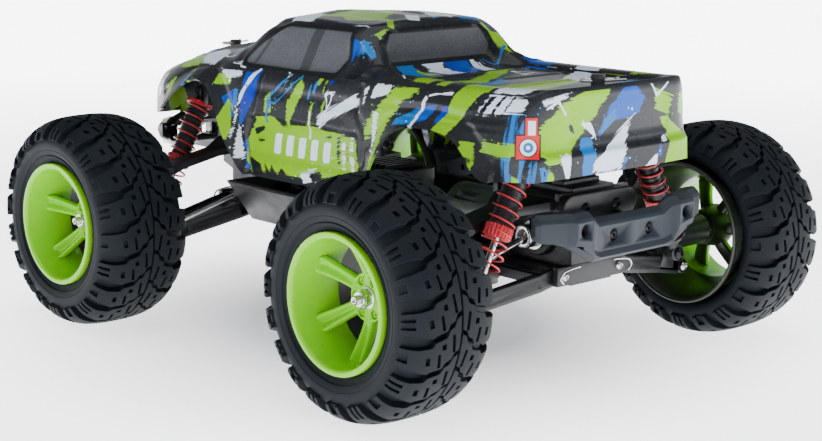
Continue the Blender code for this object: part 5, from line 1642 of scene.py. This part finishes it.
def oval(half, centre_z, height, steps=10):
    """Outline (x, z) of a bar with round ends."""
    radius = height / 2
    points = []
    for side in (1, -1):
        for i in range(steps + 1):
            angle = side * math.pi / 2 - math.pi * i / steps
            points.append((side * (half - radius) + radius * math.cos(angle),
                           centre_z + radius * math.sin(angle)))
    return points


def add_gearbox():
    y = REAR_AXLE_Y
    brace = bevelled(prism_mesh(oval(24.5, 80.0, 13.0), y + 20.6, y + 24.4, "Y"), 0.9, 3)
    bearings = []
    for side in (-1, 1):
        ring = turned_ring([(13.2, 6.1), (13.2, 9.6), (15.4, 9.6), (16.0, 9.0), (16.0, 6.1)], 40)
        bearings.append(moved(mirrored(ring, side), (0, y, 65.0)))
    cap = bevelled(box_mesh((-12, y - 13, 87.6), (12, y + 13, 90.4)), 0.8, 2)
    add_copy("rear_gearbox", 0.6, BLACK_NYLON, trim=[brace, cap, *bearings])
    heads, pins = [], []
    for side in (-1, 1):
        heads.append(screw_at((side * 10.2, y + 24.3, 79.8), (0, 1, 0), 1.0))
        for way in (-1, 1):
            heads.append(screw_at((side * 9.0, y + way * 10, 90.3), (0, 0, 1), 0.9))
            heads.append(screw_at((side * INNER_PIVOT_X, y + way * 20.6, UPPER_INNER_Z), (0, way, 0), 0.8))
            pins.append(screw_at((side * INNER_PIVOT_X, y + way * 20.6, LOWER_INNER_Z), (0, way, 0), 0.8))
    add_piece("rear_gearbox_screws", merged(heads), BLACK_STEEL, "truck")
    add_piece("rear_hinge_pin_heads", merged(pins), STEEL, "truck")
    y = FRONT_AXLE_Y
    add_copy("front_bulkhead", 0.6, BLACK_NYLON)
    heads = []
    for side in (-1, 1):
        for way in (-1, 1):
            for z in (LOWER_INNER_Z, UPPER_INNER_Z):
                heads.append(screw_at((side * INNER_PIVOT_X, y + way * 16.5, z), (0, way, 0), 0.8))
    add_piece("front_bulkhead_screws", merged(heads), STEEL, "truck")
    # the bent wires that hold the lower hinge pins, behind and ahead of the arms
    for name, wire_y, way in (("rear", REAR_AXLE_Y + 21.6, 1), ("front", FRONT_AXLE_Y - 17.6, -1)):
        for side in (-1, 1):
            path = [(side * 21.5, wire_y + way * 1.4, 47.2), (side * 23.4, wire_y + way * 1.6, 49.6),
                    (side * 21.6, wire_y + way * 1.7, 52.2), (side * 17.0, wire_y + way * 1.7, 53.2),
                    (side * 11.0, wire_y + way * 1.6, 53.6)]
            wire = tube_mesh(smooth_run(path, 8), 0.45, 8)
            add_piece(f"{name}_pin_wire_{'left' if side > 0 else 'right'}", wire, STEEL, "truck")


def add_tub():
    rails = []
    for side in (-1, 1):
        lip = ((48.6, 66.6), (50.6, 66.6), (50.9, 67.4), (50.4, 68.6), (48.6, 68.6))
        rail = [(side * x, z) for x, z in lip]
        rails.append(bevelled(prism_mesh(rail, -76, 80, "Y"), 0.4, 2))
    add_copy("chassis_tub", 0.7, BLACK_NYLON, trim=rails)


def r_clip_mesh():
    """A spring clip bent from one wire: straight leg, round head and waved leg."""
    path = [(14.0, 0.0, 0.0), (0.0, 0.0, 0.0), (-4.0, 0.4, 0.0), (-6.6, 2.4, 0.0), (-5.6, 5.0, 0.0),
            (-2.6, 5.4, 0.0),
            (0.4, 3.6, 0.2), (3.0, 1.9, 0.3), (6.0, 3.2, 0.2), (9.0, 2.0, 0.2), (12.5, 4.2, 0.4)]
    return tube_mesh(smooth_run(path, 8), 0.62, 10)


def add_fittings():
    for name, place_at, yaw in (("front", (0, -135.0, 129.9), 205.0), ("rear", (0, 126.0, 134.6), 160.0)):
        clip = r_clip_mesh()
        clip = moved(clip, place_at, Matrix.Rotation(math.radians(yaw), 4, "Z"))
        add_piece(f"{name}_body_clip", clip, STEEL, "truck")
    for tag, side in (("rl", 1), ("rr", -1)):
        rise = AXLE_Z - 65.0
        run = Vector((67.5 - 20.0, 0, rise)).normalized()
        start, end = Vector((20.0, REAR_AXLE_Y, 65.0)), Vector((67.5, REAR_AXLE_Y, AXLE_Z))
        shaft = round_bar(start + run * 2, end - run * 7, 1.65)
        arc = np.linspace(math.pi, 0, 15)
        ball = turned_bar([(2.7 * math.cos(a), max(0.05, 2.75 * math.sin(a))) for a in arc], 28, smooth=60.0)
        pin = round_bar(start + Vector((0, -3.1, 0)), start + Vector((0, 3.1, 0)), 0.9)
        extras = merged([shaft, moved(ball, start), pin])
        add_copy(f"dogbone_{tag}", 0.3, STEEL, f"dogbone_{tag}", [mirrored(extras, side)])
    cups = []
    for side in (-1, 1):
        cup = turned_ring([(13.6, 3.6), (24.2, 3.6), (24.2, 5.0), (23.6, 5.35), (16.0, 5.35), (15.2, 4.6),
                           (13.6, 4.6)], 40)
        slot = box_mesh((18.5, -1.2, -8), (26, 1.2, 8))
        cup = bevelled(boolean(cup, slot), 0.2, 1)
        collar = turned_ring([(16.2, 5.2), (16.2, 6.6), (17.4, 6.6), (17.4, 5.2)], 40)
        cups.append(moved(mirrored(merged([cup, collar]), side), (0, REAR_AXLE_Y, 65.0)))
    add_copy("differential", 0.25, STEEL, "differential", cups)
    add_copy("motor_pinion", 0.2, STEEL, "motor_pinion")
    back = REAR_AXLE_Y - 17.0 - 0.4 - 3.0 - 0.3 - 44.0
    can = turned_bar([(0, 4.2), (0.4, 11.2), (2.0, 13.6), (30, 13.6), (30.4, 13.2), (31.2, 13.2),
                      (31.6, 13.6), (43.0, 13.6), (44.0, 12.6)], 64)
    for i in range(4):
        angle = math.tau * (i + 0.5) / 4
        vent = box_mesh((8, -2.4, 9), (20, 2.4, 20))
        can = boolean(can, moved(vent, turn=Matrix.Rotation(angle, 4, "X")))
    can = aligned(bevelled(can, 0.3, 2), (0, back, 65.0), (0, back + 1, 65.0))
    add_piece("drive_motor_look", can, MOTOR_CAN, "truck", ("drive_motor",))
    for node, material, body, slot in (("steering_rack", BLACK_NYLON, "steering_rack", "black_nylon"),
                                       ("tie_rod_fl", STEEL, "tie_rod_fl", "steel"),
                                       ("tie_rod_fr", STEEL, "tie_rod_fr", "steel"),
                                       ("steering_servo", BLACK_NYLON, "truck", "black_nylon"),
                                       ("servo_horn", BLACK_NYLON, "servo_horn", "black_nylon"),
                                       ("battery_pack", PACK_BLUE, "truck", "pack_blue"),
                                       ("receiver_esc", BLACK_NYLON, "truck", "black_nylon"),
                                       ("battery_cover", BLACK_NYLON, "battery_cover", "black_nylon"),
                                       ("power_switch", BLACK_NYLON, "power_switch", "black_nylon")):
        add_copy(node, 0.35, material, body)
    fins = [bevelled(box_mesh((-12.5, y, 78.4), (12.5, y + 1.6, 81.6)), 0.25, 1) for y in range(-20, 4, 4)]
    add_piece("receiver_heat_sink", merged(fins), BLACK_STEEL, "truck")


def add_chassis():
    for tag, (side, axle_y) in CORNERS.items():
        add_arms(tag, side, axle_y)
    add_shocks()
    add_bumpers()
    add_towers()
    add_gearbox()
    add_tub()
    add_fittings()




# ---------------------------------------------------------------- camera, floor and light

CAMERA_AT = (0.58489, 0.64767, 0.23063)
CAMERA_TURN = (-132.658, -11.588, 0.492)  # yaw, pitch and roll in degrees
CAMERA_LENS = 78.14


def add_camera():
    """A long lens at the rear left corner, a little above the roof line."""
    data = bpy.data.cameras.new("camera")
    data.lens = CAMERA_LENS
    data.sensor_width = 36.0
    data.clip_start = 0.02
    data.clip_end = 30.0
    camera = bpy.data.objects.new("camera", data)
    yaw, pitch, roll = (math.radians(angle) for angle in CAMERA_TURN)
    forward = Vector((math.cos(yaw) * math.cos(pitch), math.sin(yaw) * math.cos(pitch), math.sin(pitch)))
    turn = forward.to_track_quat("-Z", "Y").to_matrix() @ Matrix.Rotation(roll, 3, "Z")
    camera.matrix_world = Matrix.Translation(Vector(CAMERA_AT)) @ turn.to_4x4()
    bpy.context.scene.collection.objects.link(camera)
    bpy.context.scene.camera = camera


def add_area_light(name, position, target, size, power, colour=(1, 1, 1)):
    data = bpy.data.lights.new(name, "AREA")
    data.shape = "RECTANGLE"
    data.size, data.size_y = size
    data.energy = power
    data.color = colour
    light = bpy.data.objects.new(name, data)
    light.location = position
    light.rotation_euler = (Vector(target) - Vector(position)).to_track_quat("-Z", "Y").to_euler()
    bpy.context.scene.collection.objects.link(light)


WORLD_LIGHT = 0.10
HORIZON_LIGHT = 1.1
FLOOR_GLOW = 3.3
FAR_GLOW = 3.7


def add_stage():
    floor_size = 6.0
    mesh = bpy.data.meshes.new("floor")
    corners = [(-floor_size, -floor_size, 0), (floor_size, -floor_size, 0),
               (floor_size, floor_size, 0), (-floor_size, floor_size, 0)]
    mesh.from_pydata(corners, [], [(0, 1, 2, 3)])
    floor = bpy.data.objects.new("floor", mesh)
    material = bpy.data.materials.new("floor_white")
    material.use_nodes = True
    tree = material.node_tree
    shader = tree.nodes["Principled BSDF"]
    tone = mix_colour(tree, noise_of(tree, 4.0, 2.0), (0.93, 0.94, 0.95), (0.95, 0.96, 0.97))
    tree.links.new(tone, shader.inputs["Base Color"])
    shader.inputs["Roughness"].default_value = 0.55
    shader.inputs["Specular IOR Level"].default_value = 0.2
    place_on_floor = add_node(tree, "TexCoord").outputs["Object"]
    reach = add_node(tree, "VectorMath", {0: place_on_floor}, operation="LENGTH").outputs["Value"]
    # the floor glows as a white sweep; the glow falls from full at 0.21 m to 16 % at 0.07 m from the truck's
    # middle, a painted shadow under the truck
    near = remap(tree, reach, 0.07, 0.21, FLOOR_GLOW * 0.16, FLOOR_GLOW)
    far = remap(tree, reach, 0.45, 1.10, 0.0, FAR_GLOW)
    glow_with_painted_shadow = maths(tree, "ADD", near, far)
    shader.inputs["Emission Color"].default_value = (0.97, 0.98, 1.0, 1.0)
    tree.links.new(glow_with_painted_shadow, shader.inputs["Emission Strength"])
    floor.data.materials.append(material)
    floor.location.z = -0.0002
    bpy.context.scene.collection.objects.link(floor)
    world = bpy.data.worlds.new("studio")
    world.use_nodes = True
    background = world.node_tree.nodes["Background"]
    background.inputs["Color"].default_value = (0.94, 0.97, 1.0, 1.0)
    sky = world.node_tree
    direction = add_node(sky, "TexCoord").outputs["Generated"]
    upward = add_node(sky, "SeparateXYZ", {"Vector": direction}).outputs[2]
    sky.links.new(remap(sky, upward, 0.10, 0.40, HORIZON_LIGHT, WORLD_LIGHT), background.inputs["Strength"])
    bpy.context.scene.world = world
    middle = (0, 0, 0.08)
    add_area_light("overhead", (0.05, 0.15, 1.3), middle, (1.5, 1.3), 13, (0.97, 0.98, 1.0))
    add_area_light("left_wall", (1.5, 0.1, 0.75), middle, (1.1, 0.8), 2, (0.95, 0.98, 1.0))
    add_area_light("rear_wall", (0.2, 1.6, 0.7), middle, (1.1, 0.7), 1.5, (0.97, 0.99, 1.0))
    add_area_light("right_wall", (-1.5, -0.2, 0.8), middle, (1.0, 0.6), 1)


add_wheels()
add_shell()
add_chassis()
add_camera()
add_stage()
